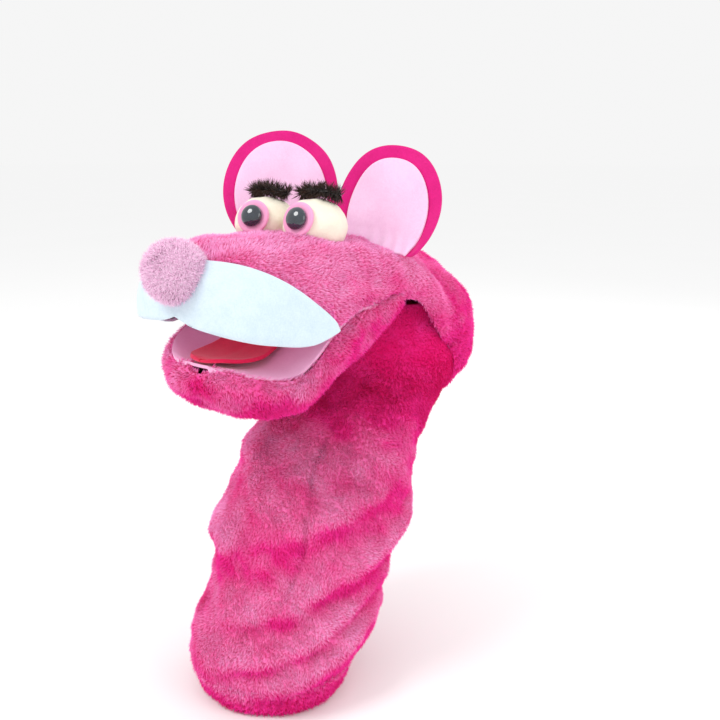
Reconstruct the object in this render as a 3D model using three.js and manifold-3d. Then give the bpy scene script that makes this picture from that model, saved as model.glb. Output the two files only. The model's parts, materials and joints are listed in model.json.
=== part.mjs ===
// Plush moving-mouth hand puppet: a fur sleeve worn on the forearm, a soft neck, an upper head over
// the fingers and a lower jaw over the thumb. Millimetres, +Z up, -Y is the way the puppet faces,
// +X is the puppet's left. The origin is the centre of the sleeve's opening, on the rim's plane.
import * as THREE from "three";
import { mergeVertices } from "three/addons/utils/BufferGeometryUtils.js";
import Module from "manifold-3d";

// ---------------------------------------------------------------- driving dimensions
const CLEARANCE = 0.4;           // between pieces that lie on each other
const PLUSH = 3.6;               // plush cloth with its pile pressed down
const FELT = 1.5;                // craft felt
const BOARD = 2;                 // mouth boards

const SLEEVE_RADIUS = 48.5;       // outside, at the rim
const SLEEVE_TOP_RADIUS = 53;    // outside, where the neck starts
const SLEEVE_HEIGHT = 118;       // rim to the neck seam
const SLEEVE_LEAN = 40;          // how far the neck seam lies behind the rim's centre
const HEM_HEIGHT = 13;

const WRIST_BACK = 53;           // wrist's centre behind the neck seam's centre
const WRIST_RISE = 57;           // wrist's centre above the neck seam
const BACK_RADIUS = 55;          // outside of the back of the head
const NECK_WINDOW = 72;          // width of the neck's front opening for fingers and thumb

const HINGE_AHEAD = 64;          // mouth corner ahead of the wrist's centre
const HINGE_RISE = 38;           // mouth corner above the wrist's centre
const HEAD_HALF_WIDTH = 51;
const SNOUT_REACH = 93;          // snout's tip ahead of the mouth corner
const CHEEK_AHEAD = 21;          // widest section ahead of the mouth corner
const SNOUT_MID_RISE = -4;       // snout's foremost point above the mouth corner
const CROWN_RISE = 29;           // head's top above the mouth corner
const JAW_HALF_WIDTH = 50;
const JAW_REACH = 86;            // jaw's tip ahead of the mouth corner
const JAW_DEPTH = 25;            // plush roll under the jaw's floor
const JAW_OPENING = 18;          // degrees that the jaw opens beyond rest

const POMPOM_RADIUS = 17.5;
const PAD_SIZE = [16.4, 16, 14]; // eye pad's half sizes
const PAD_SPACING = 16.9;        // from the middle plane
const DISC_RADIUS = 8.6;
const BUTTON_RADIUS = 5.6;
const BUTTON_DOME = 3.6;
const STEM_RADIUS = 1.2;
const BROW_PILE_RADIUS = 4.8;
const BROW_WIRE_RADIUS = 0.9;
const EAR_WIDTH = 58;
const EAR_HEIGHT = 57;           // from its foot, which stands in the crown's seam
const EAR_BASE = 42;             // width where the ear is sewn on
const EAR_BORDER = 6.5;          // outer felt showing around the inner felt
const TONGUE_WIDTH = 37;
const TONGUE_LENGTH = 55;

const wrist = { y: SLEEVE_LEAN + WRIST_BACK, z: SLEEVE_HEIGHT + WRIST_RISE };
const hinge = { y: wrist.y - HINGE_AHEAD, z: wrist.z + HINGE_RISE };
const cheekY = hinge.y - CHEEK_AHEAD;
const tipY = hinge.y - SNOUT_REACH;
const snoutZ = hinge.z + SNOUT_MID_RISE;
const crownZ = hinge.z + CROWN_RISE;
const jawTipY = hinge.y - JAW_REACH;

// ---------------------------------------------------------------- manifold and mesh helpers
const wasm = await Module();
wasm.setup();

function toSolid(geometry, matrix) {
  const bare = geometry.clone();
  if (matrix) bare.applyMatrix4(matrix);
  for (const name of Object.keys(bare.attributes)) if (name !== "position") bare.deleteAttribute(name);
  const merged = mergeVertices(bare, 1e-3);
  const mesh = new wasm.Mesh({
    numProp: 3,
    vertProperties: Float32Array.from(merged.attributes.position.array),
    triVerts: Uint32Array.from(merged.index.array),
  });
  return new wasm.Manifold(mesh);
}

function toGeometry(solid) {
  const mesh = solid.getMesh();
  const geometry = new THREE.BufferGeometry();
  geometry.setAttribute("position", new THREE.BufferAttribute(Float32Array.from(mesh.vertProperties), 3));
  geometry.setIndex(Array.from(mesh.triVerts));
  geometry.computeVertexNormals();
  return geometry;
}

// Rings of equal length joined into a closed skin; the last ring joins the first when `around`.
function loft(rings, around = false) {
  const count = rings[0].length;
  const positions = rings.flat(2);
  const index = [];
  const last = around ? rings.length : rings.length - 1;
  for (let r = 0; r < last; r += 1) {
    const next = (r + 1) % rings.length;
    for (let i = 0; i < count; i += 1) {
      const j = (i + 1) % count;
      const [a, b, c, d] = [r * count + i, r * count + j, next * count + j, next * count + i];
      index.push(a, b, c, a, c, d);
    }
  }
  if (!around) {
    for (let i = 1; i < count - 1; i += 1) {
      index.push(0, i + 1, i);
      const base = (rings.length - 1) * count;
      index.push(base, base + i, base + i + 1);
    }
  }
  return orient(positions, index);
}

// Two grids of equal size, one over the other, joined along their four borders into a closed slab.
function slab(low, high) {
  const [rows, columns] = [low.length, low[0].length];
  const positions = [...low.flat(), ...high.flat()].flat();
  const index = [];
  const id = (top, r, c) => (top ? rows * columns : 0) + r * columns + c;
  const quad = (a, b, c, d) => index.push(a, b, c, a, c, d);
  for (let r = 0; r < rows - 1; r += 1) {
    for (let c = 0; c < columns - 1; c += 1) {
      quad(id(0, r, c), id(0, r, c + 1), id(0, r + 1, c + 1), id(0, r + 1, c));
      quad(id(1, r, c), id(1, r + 1, c), id(1, r + 1, c + 1), id(1, r, c + 1));
    }
    quad(id(0, r, 0), id(0, r + 1, 0), id(1, r + 1, 0), id(1, r, 0));
    const edge = columns - 1;
    quad(id(0, r, edge), id(1, r, edge), id(1, r + 1, edge), id(0, r + 1, edge));
  }
  for (let c = 0; c < columns - 1; c += 1) {
    quad(id(0, 0, c), id(1, 0, c), id(1, 0, c + 1), id(0, 0, c + 1));
    quad(id(0, rows - 1, c), id(0, rows - 1, c + 1), id(1, rows - 1, c + 1), id(1, rows - 1, c));
  }
  return orient(positions, index);
}

// A triangle soup with merged points, without slivers of no area, facing outwards.
function orient(positions, index) {
  let geometry = new THREE.BufferGeometry();
  geometry.setAttribute("position", new THREE.BufferAttribute(Float32Array.from(positions), 3));
  geometry.setIndex(Array.from(index));
  geometry = mergeVertices(geometry, 1e-3);
  const triangles = geometry.index.array;
  const kept = [];
  for (let t = 0; t < triangles.length; t += 3) {
    const [a, b, c] = [triangles[t], triangles[t + 1], triangles[t + 2]];
    if (a !== b && b !== c && c !== a) kept.push(a, b, c);
  }
  const p = geometry.attributes.position;
  const [A, B, C] = [new THREE.Vector3(), new THREE.Vector3(), new THREE.Vector3()];
  let volume = 0;
  for (let t = 0; t < kept.length; t += 3) {
    A.fromBufferAttribute(p, kept[t]);
    B.fromBufferAttribute(p, kept[t + 1]);
    C.fromBufferAttribute(p, kept[t + 2]);
    volume += A.dot(B.cross(C));
  }
  if (volume < 0) kept.reverse();
  geometry.setIndex(kept);
  geometry.computeVertexNormals();
  return geometry;
}

const at = (x, y, z) => new THREE.Matrix4().makeTranslation(x, y, z);
const ballAt = (radius, y, z, x = 0) => toSolid(new THREE.SphereGeometry(radius, 28, 18), at(x, y, z));
const boxAt = (size, centre) => toSolid(new THREE.BoxGeometry(...size), at(...centre));

// A smooth value between listed [place, value] knots.
function curve(knots) {
  return (place) => {
    if (place <= knots[0][0]) return knots[0][1];
    for (let k = 1; k < knots.length; k += 1) {
      const [[p0, v0], [p1, v1]] = [knots[k - 1], knots[k]];
      if (place <= p1) {
        const slope = (i) => {
          const [lo, hi] = [knots[Math.max(i - 1, 0)], knots[Math.min(i + 1, knots.length - 1)]];
          return (hi[1] - lo[1]) / (hi[0] - lo[0]);
        };
        const [s, w] = [(place - p0) / (p1 - p0), p1 - p0];
        const [m0, m1] = [slope(k - 1) * w, slope(k) * w];
        return (2 * s ** 3 - 3 * s ** 2 + 1) * v0 + (s ** 3 - 2 * s ** 2 + s) * m0
          + (3 * s ** 2 - 2 * s ** 3) * v1 + (s ** 3 - s ** 2) * m1;
      }
    }
    return knots[knots.length - 1][1];
  };
}

// ---------------------------------------------------------------- shapes shared by the head's pieces
const ARC_STEPS = 16;
const PLAN_POWER = 3;            // squareness of the snout's plan
const JAW_PLAN_POWER = 2.6;
const ARCH_POWER = 0.72;         // fullness of the arch over the head

// 1 on the cheeks, falling to 0 at the tip.
function planFullness(y, reach, power = PLAN_POWER) {
  const t = Math.min(Math.max((cheekY - y) / reach, 0), 1);
  return (1 - t ** power) ** (1 / power);
}
const jawFullness = (y) => planFullness(y, cheekY - jawTipY, JAW_PLAN_POWER);

const lipDrop = curve([[-100, 15], [-78, 18], [-60, 16.5], [-40, 11], [-20, 5], [0, 0]]);
const backFall = CROWN_RISE + HINGE_RISE - BACK_RADIUS;
const crownFall = curve([[-100, 0], [-30, 0], [0, 2], [HINGE_AHEAD / 2, 6], [HINGE_AHEAD, backFall]]);
const mix = (a, b, share) => a + (b - a) * share;
const smooth = (share) => {
  const s = Math.min(Math.max(share, 0), 1);
  return s * s * (3 - 2 * s);
};

// The arch over the head at station y: from the left lip over the top to the right lip.
function headPoint(share, y, offset = 0) {
  const full = planFullness(y + Math.min(offset, 0), cheekY - tipY + Math.max(offset, 0));
  const back = smooth((y - hinge.y) / HINGE_AHEAD);
  const grow = offset * Math.min(1, 2 * full);
  const half = mix(HEAD_HALF_WIDTH, BACK_RADIUS, back) * full + grow;
  const lip = snoutZ - (SNOUT_MID_RISE + lipDrop(y - hinge.y)) * full - HINGE_RISE * back;
  const rise = (crownZ - snoutZ - crownFall(y - hinge.y)) * full + grow;
  const angle = Math.PI * share;
  const power = mix(ARCH_POWER, 1, back);
  const side = Math.sign(Math.cos(angle)) * Math.abs(Math.cos(angle)) ** power;
  return [Math.max(half, 0) * side, y, lip + (snoutZ + rise - lip) * Math.sin(angle) ** power];
}

// Stations along the head, closer together towards the snout's tip.
function stations(from, to, count) {
  return Array.from({ length: count + 1 }, (_, i) => from + (to - from) * (1 - Math.cos((i / count) * 1.45))
    / (1 - Math.cos(1.45)));
}

// A closed solid under the head's arch, `offset` inside or outside it, down to `drop` under the lip.
function headSolid(offset, drop, rearY, floorZ = null) {
  const rings = stations(tipY - offset, rearY, 14).map((y) => {
    const arch = Array.from({ length: ARC_STEPS + 1 }, (_, i) => headPoint(i / ARC_STEPS, y, offset));
    const full = planFullness(y, cheekY - tipY + offset);
    const low = (z) => (floorZ === null ? z - drop * Math.min(1, 2 * full) : Math.min(z, floorZ));
    const [x0, , z0] = arch[ARC_STEPS];
    return [...arch, [x0, y, low(z0)], [-x0, y, low(z0)]];
  });
  return toSolid(loft(rings));
}

const backBall = (radius) => ballAt(radius, wrist.y, wrist.z);
const headRear = wrist.y;
const headBodyWith = (offset) => headSolid(offset, 0, headRear).add(backBall(BACK_RADIUS + offset));

// A side outline (in Y and Z) pushed right through the puppet along X.
function throughSides(points) {
  const shape = new THREE.Shape(points.map(([y, z]) => new THREE.Vector2(y, z)));
  const extruded = new THREE.ExtrudeGeometry(shape, { depth: 200, bevelEnabled: false });
  const turn = new THREE.Matrix4().set(0, 0, 1, -100, 1, 0, 0, 0, 0, 1, 0, 0, 0, 0, 0, 1);
  return toSolid(extruded, turn);
}

// ---------------------------------------------------------------- sleeve, hem and neck
const sleeveLean = (z) => SLEEVE_LEAN * (z / SLEEVE_HEIGHT) ** 1.15;
const sleeveRadius = (z) => SLEEVE_RADIUS + (SLEEVE_TOP_RADIUS - SLEEVE_RADIUS) * (z / SLEEVE_HEIGHT);

function ring(centreY, z, radius, count = 28) {
  return Array.from({ length: count }, (_, i) => {
    const a = (i / count) * 2 * Math.PI;
    return [radius * Math.cos(a), centreY + radius * Math.sin(a), z];
  });
}

function tube(fromZ, toZ, count, wall) {
  const heights = Array.from({ length: count + 1 }, (_, i) => fromZ + ((toZ - fromZ) * i) / count);
  const outside = heights.map((z) => ring(sleeveLean(z), z, sleeveRadius(z)));
  const inside = heights.map((z) => ring(sleeveLean(z), z, sleeveRadius(z) - wall)).reverse();
  return loft([...outside, ...inside], true);
}

const sleeve = tube(HEM_HEIGHT + CLEARANCE, SLEEVE_HEIGHT, 7, PLUSH);
const sleeveHem = tube(0, HEM_HEIGHT, 2, PLUSH + 1.2);

// The neck is a tube that swells into a ball about the wrist, inside the back of the head.
const NECK_BALL = BACK_RADIUS - PLUSH - CLEARANCE - 0.4;
function neckPiece() {
  const start = SLEEVE_HEIGHT + CLEARANCE;
  const section = (inset) => {
    const rows = [[0, 0, SLEEVE_TOP_RADIUS], [6, 0.12, 49], [16, 0.34, 46], [30, 0.62, 45], [44, 0.85, 45]];
    return rows.map(([rise, share, radius]) =>
      ring(SLEEVE_LEAN + WRIST_BACK * share, start + rise, radius - inset));
  };
  const outer = toSolid(loft(section(0))).add(backBall(NECK_BALL));
  const inner = toSolid(loft([ring(SLEEVE_LEAN, start - 4, SLEEVE_TOP_RADIUS - PLUSH), ...section(PLUSH)]))
    .add(backBall(NECK_BALL - PLUSH));
  const top = hinge.z - 11;
  const window = [NECK_WINDOW, 2 * NECK_BALL, top];
  const front = boxAt(window, [0, wrist.y - NECK_BALL, wrist.z - 16 + top / 2]);
  const above = boxAt([200, 300, 100], [0, wrist.y, top + 50]);
  const below = boxAt([200, 300, 100], [0, wrist.y, start - 50]);
  return toGeometry(outer.subtract(inner).subtract(front).subtract(above).subtract(below));
}

// ---------------------------------------------------------------- upper head
const lipSweep = [-96, -84, -66, -48, -30, -14, 0, 10, 22, 34, 46, 56, HINGE_AHEAD]
  .map((dy) => hinge.y + dy);

function headUpper() {
  const inside = headSolid(-PLUSH, 12, headRear).add(backBall(BACK_RADIUS - PLUSH));
  const rearEdge = [[12, -16], [20, -34], [24, -70]].map(([y, z]) => [wrist.y + y, wrist.z + z]);
  const lipLine = lipSweep.map((y) => [y, headPoint(0, Math.max(y, tipY + 2))[2] - 0.4]);
  const ahead = tipY - 40;
  const below = throughSides([[ahead, wrist.z - 70], [ahead, lipLine[0][1]], ...lipLine, ...rearEdge]);
  return toGeometry(headBodyWith(0).subtract(inside).subtract(below));
}

// ---------------------------------------------------------------- sheets that follow a side curve
// A sheet `thick` under zTop(y), as wide as halfWidth(y) each side, from y0 forward to y1.
function sheet(zTop, halfWidth, y0, y1, thick, across = 6, along = 9) {
  const rows = Array.from({ length: along + 1 }, (_, i) => {
    const s = Math.sin((i / along) * Math.PI * 0.5);
    const y = y0 + (y1 - y0) * s;
    const half = halfWidth(y);
    const place = (k) => [half * (1 - (2 * k) / across), y, zTop(y)];
    const top = Array.from({ length: across + 1 }, (_, k) => place(k));
    return [...top, ...top.map(([x, yy, z]) => [x, yy, z - thick]).reverse()];
  });
  return loft(rows);
}

const insidePlan = (halfWidth, inset, fullness) => (y) =>
  Math.max(halfWidth * fullness(y - inset) - inset, 1.2);
const headFullness = (y) => planFullness(y, cheekY - tipY);
const palateZ = hinge.z - 4.5;
const palateFront = tipY + 9;
const mouthRear = hinge.y - 10;
const palateBoard = sheet(() => palateZ + BOARD, insidePlan(HEAD_HALF_WIDTH, PLUSH + 3, headFullness),
  mouthRear - 1, palateFront + 3, BOARD);
const palateLining = sheet(() => palateZ - CLEARANCE, insidePlan(HEAD_HALF_WIDTH, PLUSH + 1.2, headFullness),
  mouthRear, palateFront, FELT);

// ---------------------------------------------------------------- lower jaw
const floorCurve = curve([[-88, -27], [-80, -31.5], [-68, -34], [-56, -33], [-48, -30], [-36, -23.5],
  [-20, -15.5], [-8, -9.5], [0, -5]]);
const floorZ = (y) => hinge.z + floorCurve(y - hinge.y);
const jawDepth = curve([[-88, JAW_DEPTH], [-60, JAW_DEPTH - 1], [-30, JAW_DEPTH - 2], [-8, 18], [0, 8]]);

function jawPoint(share, y, offset = 0) {
  const full = jawFullness(y + Math.min(offset, 0));
  const half = Math.max(JAW_HALF_WIDTH * full + offset * Math.min(1, 2 * full), 0);
  const angle = Math.PI * share;
  const side = Math.sign(Math.cos(angle)) * Math.abs(Math.cos(angle)) ** ARCH_POWER;
  const depth = (jawDepth(y - hinge.y) + offset) * full;
  const tipLift = 4 * (1 - full);
  return [half * side, y, floorZ(y) - tipLift - depth * Math.sin(angle) ** ARCH_POWER];
}

function jawSolid(offset, rise) {
  const rings = stations(jawTipY - Math.min(offset, 0), hinge.y - 4, 13).map((y) => {
    const arch = Array.from({ length: ARC_STEPS + 1 }, (_, i) => jawPoint(i / ARC_STEPS, y, offset));
    const full = jawFullness(y);
    const [x0, , z0] = arch[ARC_STEPS];
    const high = z0 + rise * Math.min(1, 2 * full);
    return [...arch, [x0, y, high], [-x0, y, high]];
  });
  return toSolid(loft(rings));
}

// The ball that the neck sweeps, seen from the jaw, as the jaw opens from rest to its limit.
function neckSweep(radius) {
  let sweep = null;
  for (let turn = -16; turn <= JAW_OPENING + 2; turn += 11.5) {
    const a = THREE.MathUtils.degToRad(-turn);
    const [dy, dz] = [wrist.y - hinge.y, wrist.z - hinge.z];
    const y = hinge.y + dy * Math.cos(a) - dz * Math.sin(a);
    const z = hinge.z + dy * Math.sin(a) + dz * Math.cos(a);
    const ball = ballAt(radius, y, z);
    sweep = sweep ? sweep.add(ball) : ball;
  }
  return sweep;
}

const neckClear = neckSweep(BACK_RADIUS + 0.6);
function jawLower() {
  const shell = jawSolid(0, 0.01).subtract(jawSolid(-PLUSH, 12));
  return toGeometry(shell.subtract(neckClear));
}

const floorRear = hinge.y - 12;
const floorFront = jawTipY + 9;
const floorBoard = sheet((y) => floorZ(y) - FELT - 2 * CLEARANCE,
  insidePlan(JAW_HALF_WIDTH, PLUSH + 3.4, jawFullness), floorRear - 1, floorFront + 4, BOARD);
const floorLining = sheet((y) => floorZ(y) - CLEARANCE,
  insidePlan(JAW_HALF_WIDTH, PLUSH + 1.2, jawFullness), floorRear, floorFront, FELT);

// Cloth tape that joins the two boards behind the mouth lining.
const TAPE = { thick: 0.8, front: -4.6, rear: 2.6 };
const hingeTape = sheet(() => hinge.z + 1.2, () => HEAD_HALF_WIDTH - 19,
  hinge.y + TAPE.rear, hinge.y + TAPE.front, TAPE.thick, 4, 3);

// ---------------------------------------------------------------- tongue
const tongueRoot = hinge.y - 22;
function tonguePiece() {
  const half = (y) => {
    const along = (tongueRoot - y) / TONGUE_LENGTH;
    const tip = Math.sqrt(Math.max(1 - Math.max((along - 0.7) / 0.3, 0) ** 2, 0));
    return Math.max((TONGUE_WIDTH / 2) * (0.74 + 0.26 * Math.min(along / 0.6, 1)) * tip, 0.8);
  };
  const tip = tongueRoot - TONGUE_LENGTH;
  return sheet((y) => floorZ(y) + FELT + CLEARANCE, half, tongueRoot, tip, FELT);
}

// ---------------------------------------------------------------- muzzle patch
// Felt over the snout: its top edge crosses the bridge and runs back along both lips.
const PATCH_GAP = 0.9;            // glue line, with room for the fur under it
function muzzlePatch() {
  const [columns, rows] = [16, 6];
  const edge = (share) => tipY + 9 + 50 * Math.abs(2 * share - 1) ** 1.6;
  const skin = (offset) => Array.from({ length: rows + 1 }, (_, r) => Array.from(
    { length: columns + 1 }, (_, c) => {
      const share = 0.012 + (c / columns) * 0.976;
      const reach = (r / rows) ** 2.2;
      return headPoint(share, tipY - offset + (edge(share) - tipY + offset) * reach, offset);
    }));
  const [low, high] = [skin(PATCH_GAP), skin(PATCH_GAP + FELT)];
  return slab(low, high);
}

// ---------------------------------------------------------------- nose, eyes and brows
const nose = { y: tipY - 3, z: snoutZ + 20 };
const patchBody = headBodyWith(PATCH_GAP + FELT + CLEARANCE);
const noseBall = toSolid(new THREE.SphereGeometry(POMPOM_RADIUS, 18, 12), at(0, nose.y, nose.z));
const nosePompom = toGeometry(noseBall.subtract(patchBody));

const padY = hinge.y - 22;
const padZ = crownZ + 5;
const eyeLook = { left: [0.12, -0.94, 0.3], right: [0.3, -0.9, 0.3] };
const pieces = {};

function turnTo(direction, centre) {
  const turn = new THREE.Quaternion().setFromUnitVectors(
    new THREE.Vector3(0, 1, 0), new THREE.Vector3(...direction).normalize());
  return new THREE.Matrix4().compose(new THREE.Vector3(...centre), turn, new THREE.Vector3(1, 1, 1));
}

function eye(side, sign) {
  const centre = [sign * PAD_SPACING, padY, padZ];
  const look = new THREE.Vector3(...eyeLook[side]).normalize();
  const seat = 1 / Math.hypot(look.x / PAD_SIZE[0], look.y / PAD_SIZE[1], look.z / PAD_SIZE[2]) - 1.6;
  const seatAt = new THREE.Vector3(...centre).addScaledVector(look, seat).toArray();
  const frame = turnTo(look.toArray(), seatAt);
  const pad = (shrink, steps) => toSolid(new THREE.SphereGeometry(1, steps, Math.round(steps * 0.7)),
    new THREE.Matrix4().makeScale(...PAD_SIZE.map((s) => s - shrink)).premultiply(at(...centre)));
  const ahead = (gap) => toSolid(new THREE.BoxGeometry(60, 30, 60), at(0, 15 - gap, 0)
    .premultiply(frame));
  const stemHole = toSolid(new THREE.CylinderGeometry(STEM_RADIUS + CLEARANCE, STEM_RADIUS + CLEARANCE, 24, 12),
    at(0, 1, 0).premultiply(frame));
  const cover = 1.2;
  const head = headBodyWith(CLEARANCE);
  pieces[`eye_pad_${side}`] = toGeometry(pad(0, 16).subtract(ahead(0)).subtract(
    pad(cover, 16).subtract(ahead(cover))).subtract(head).subtract(stemHole));
  pieces[`eye_filling_${side}`] = toGeometry(pad(cover + CLEARANCE, 14).subtract(ahead(cover + CLEARANCE))
    .subtract(head).subtract(stemHole));
  const v = (x, y) => new THREE.Vector2(x, y);
  const hole = STEM_RADIUS + CLEARANCE;
  const disc = new THREE.LatheGeometry([v(hole, CLEARANCE), v(DISC_RADIUS, CLEARANCE),
    v(DISC_RADIUS, CLEARANCE + FELT), v(hole, CLEARANCE + FELT), v(hole, CLEARANCE)], 16);
  pieces[`eye_disc_${side}`] = orient(disc.applyMatrix4(frame).attributes.position.array, disc.index.array);
  const back = 2 * CLEARANCE + FELT;
  const dome = Array.from({ length: 5 }, (_, i) => v(BUTTON_RADIUS * Math.cos((i / 4) * Math.PI / 2),
    back + 0.8 + (BUTTON_DOME - 0.8) * Math.sin((i / 4) * Math.PI / 2)));
  const button = new THREE.LatheGeometry([v(0, -8), v(STEM_RADIUS, -8), v(STEM_RADIUS, back),
    v(BUTTON_RADIUS, back), ...dome.slice(0, 4), v(0, back + BUTTON_DOME)], 14);
  pieces[`eye_button_${side}`] = orient(button.applyMatrix4(frame).attributes.position.array,
    button.index.array);
}

// Chenille stems bent over the eye pads: twisted wire inside a round pile.
const BROW_LENGTH_UP = PAD_SIZE[2] + BROW_PILE_RADIUS + 1.4;
function browPath(sign, overrun) {
  const points = [-0.75, -0.4, 0, 0.4, 0.78].map((share) => {
    const reach = share * (1 + overrun);
    return new THREE.Vector3(sign * (PAD_SPACING + PAD_SIZE[0] * reach), padY + 2 + 4 * reach ** 2,
      padZ + BROW_LENGTH_UP * Math.sqrt(1 - 0.32 * reach ** 2));
  });
  return new THREE.CatmullRomCurve3(points);
}

function brow(side, sign) {
  const circle = (radius) => new THREE.Path().absarc(0, 0, radius, 0, Math.PI * 2, false);
  const section = new THREE.Shape().absarc(0, 0, BROW_PILE_RADIUS, 0, Math.PI * 2, false);
  section.holes.push(circle(BROW_WIRE_RADIUS + CLEARANCE));
  const pile = new THREE.ExtrudeGeometry(section, {
    steps: 10, curveSegments: 6, bevelEnabled: false, extrudePath: browPath(sign, 0),
  });
  pieces[`brow_pile_${side}`] = toGeometry(toSolid(pile));
  const wireSection = new THREE.Shape().absarc(0, 0, BROW_WIRE_RADIUS, 0, Math.PI * 2, false);
  const wire = new THREE.ExtrudeGeometry(wireSection, {
    steps: 12, curveSegments: 4, bevelEnabled: false, extrudePath: browPath(sign, 0.03),
  });
  pieces[`brow_wire_${side}`] = toGeometry(toSolid(wire));
}

// ---------------------------------------------------------------- ears
const earAt = {
  left: { foot: [35, hinge.y + 18, crownZ - 14], yaw: -2, lean: -16, roll: -10 },
  right: { foot: [-35, hinge.y + 16, crownZ - 13], yaw: 26, lean: -2, roll: 6 },
};

// Bell-like round outline standing on its base, in X (width) and Y (height).
function earShape(inset) {
  const [half, base, top] = [EAR_WIDTH / 2 - inset, EAR_BASE / 2 - inset * 1.3, EAR_HEIGHT - inset];
  const shape = new THREE.Shape();
  shape.moveTo(-base, 0);
  shape.bezierCurveTo(-half * 1.04, top * 0.2, -half * 1.16, top * 0.98, 0, top);
  shape.bezierCurveTo(half * 1.16, top * 0.98, half * 1.04, top * 0.2, base, 0);
  shape.lineTo(-base, 0);
  return shape;
}

function ear(side) {
  const { foot, yaw, lean, roll } = earAt[side];
  const deg = THREE.MathUtils.degToRad;
  const turn = new THREE.Matrix4().makeRotationZ(deg(yaw))
    .multiply(new THREE.Matrix4().makeRotationX(deg(90 + lean)))
    .multiply(new THREE.Matrix4().makeRotationZ(deg(roll)));
  const place = turn.setPosition(...foot);
  const layer = (inset, ahead) => toSolid(new THREE.ExtrudeGeometry(earShape(inset),
    { depth: FELT, curveSegments: 14, bevelEnabled: false }), at(0, 0, ahead).premultiply(place));
  const head = headBodyWith(1.2);
  pieces[`ear_back_${side}`] = toGeometry(layer(0, 0).subtract(head));
  pieces[`ear_front_${side}`] = toGeometry(layer(EAR_BORDER, FELT + CLEARANCE).subtract(head));
}

// ---------------------------------------------------------------- crown wadding over the fingers
const WADDING = 8;
function crownWadding() {
  const inner = headSolid(-PLUSH - CLEARANCE, 0, headRear);
  const height = 60;
  const layer = boxAt([200, wrist.y - tipY - 16, height],
    [0, (wrist.y + tipY) / 2, crownZ - PLUSH - WADDING + height / 2]);
  return toGeometry(inner.intersect(layer));
}

// ---------------------------------------------------------------- assembly
for (const [side, sign] of [["left", 1], ["right", -1]]) {
  eye(side, sign);
  brow(side, sign);
  ear(side);
}
Object.assign(pieces, {
  sleeve,
  sleeve_hem: sleeveHem,
  neck: neckPiece(),
  head_upper: headUpper(),
  jaw_lower: jawLower(),
  crown_wadding: crownWadding(),
  palate_board: palateBoard,
  palate_lining: palateLining,
  floor_board: floorBoard,
  floor_lining: floorLining,
  hinge_tape: hingeTape,
  tongue: tonguePiece(),
  muzzle_patch: muzzlePatch(),
  nose_pompom: nosePompom,
});

const looks = {
  plush: { color: 0xe8489a, roughness: 0.95, metalness: 0 },
  pale_felt: { color: 0xf2c6e4, roughness: 0.9, metalness: 0 },
  magenta_felt: { color: 0xd61e7a, roughness: 0.9, metalness: 0 },
  muzzle_felt: { color: 0xdce8ef, roughness: 0.9, metalness: 0 },
  red_felt: { color: 0xd8264f, roughness: 0.9, metalness: 0 },
  eye_cloth: { color: 0xf4efe2, roughness: 0.85, metalness: 0 },
  pompom: { color: 0xfcb4e1, roughness: 1, metalness: 0 },
  button: { color: 0x1a2630, roughness: 0.08, metalness: 0 },
  chenille: { color: 0x2c1c14, roughness: 0.9, metalness: 0 },
  wire: { color: 0x8a8c90, roughness: 0.35, metalness: 1 },
  wadding: { color: 0xf7f7f4, roughness: 1, metalness: 0 },
  board: { color: 0xb9a47c, roughness: 0.8, metalness: 0 },
  tape: { color: 0xe9e4d6, roughness: 0.85, metalness: 0 },
};

function lookOf(name) {
  if (/^(sleeve|neck|head_upper|jaw_lower)/.test(name)) return looks.plush;
  if (/^ear_back/.test(name)) return looks.magenta_felt;
  if (/^(ear_front|palate_lining|floor_lining|eye_disc)/.test(name)) return looks.pale_felt;
  if (/^(eye_filling|crown_wadding)/.test(name)) return looks.wadding;
  if (/^brow_pile/.test(name)) return looks.chenille;
  if (/^brow_wire/.test(name)) return looks.wire;
  if (/_board$/.test(name)) return looks.board;
  return {
    hinge_tape: looks.tape, tongue: looks.red_felt, muzzle_patch: looks.muzzle_felt,
    nose_pompom: looks.pompom, eye_pad_left: looks.eye_cloth, eye_pad_right: looks.eye_cloth,
    eye_button_left: looks.button, eye_button_right: looks.button,
  }[name];
}

const puppet = new THREE.Group();
for (const [name, geometry] of Object.entries(pieces)) {
  const mesh = new THREE.Mesh(geometry, new THREE.MeshStandardMaterial(lookOf(name)));
  mesh.name = name;
  puppet.add(mesh);
}

export default puppet;
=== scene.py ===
"""Looks of the plush hand puppet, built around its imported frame.

Lengths are in millimetres until a mesh is made.
"""
import json
import math

import bmesh
import bpy
import numpy as np
from mathutils import Matrix, Vector

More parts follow.
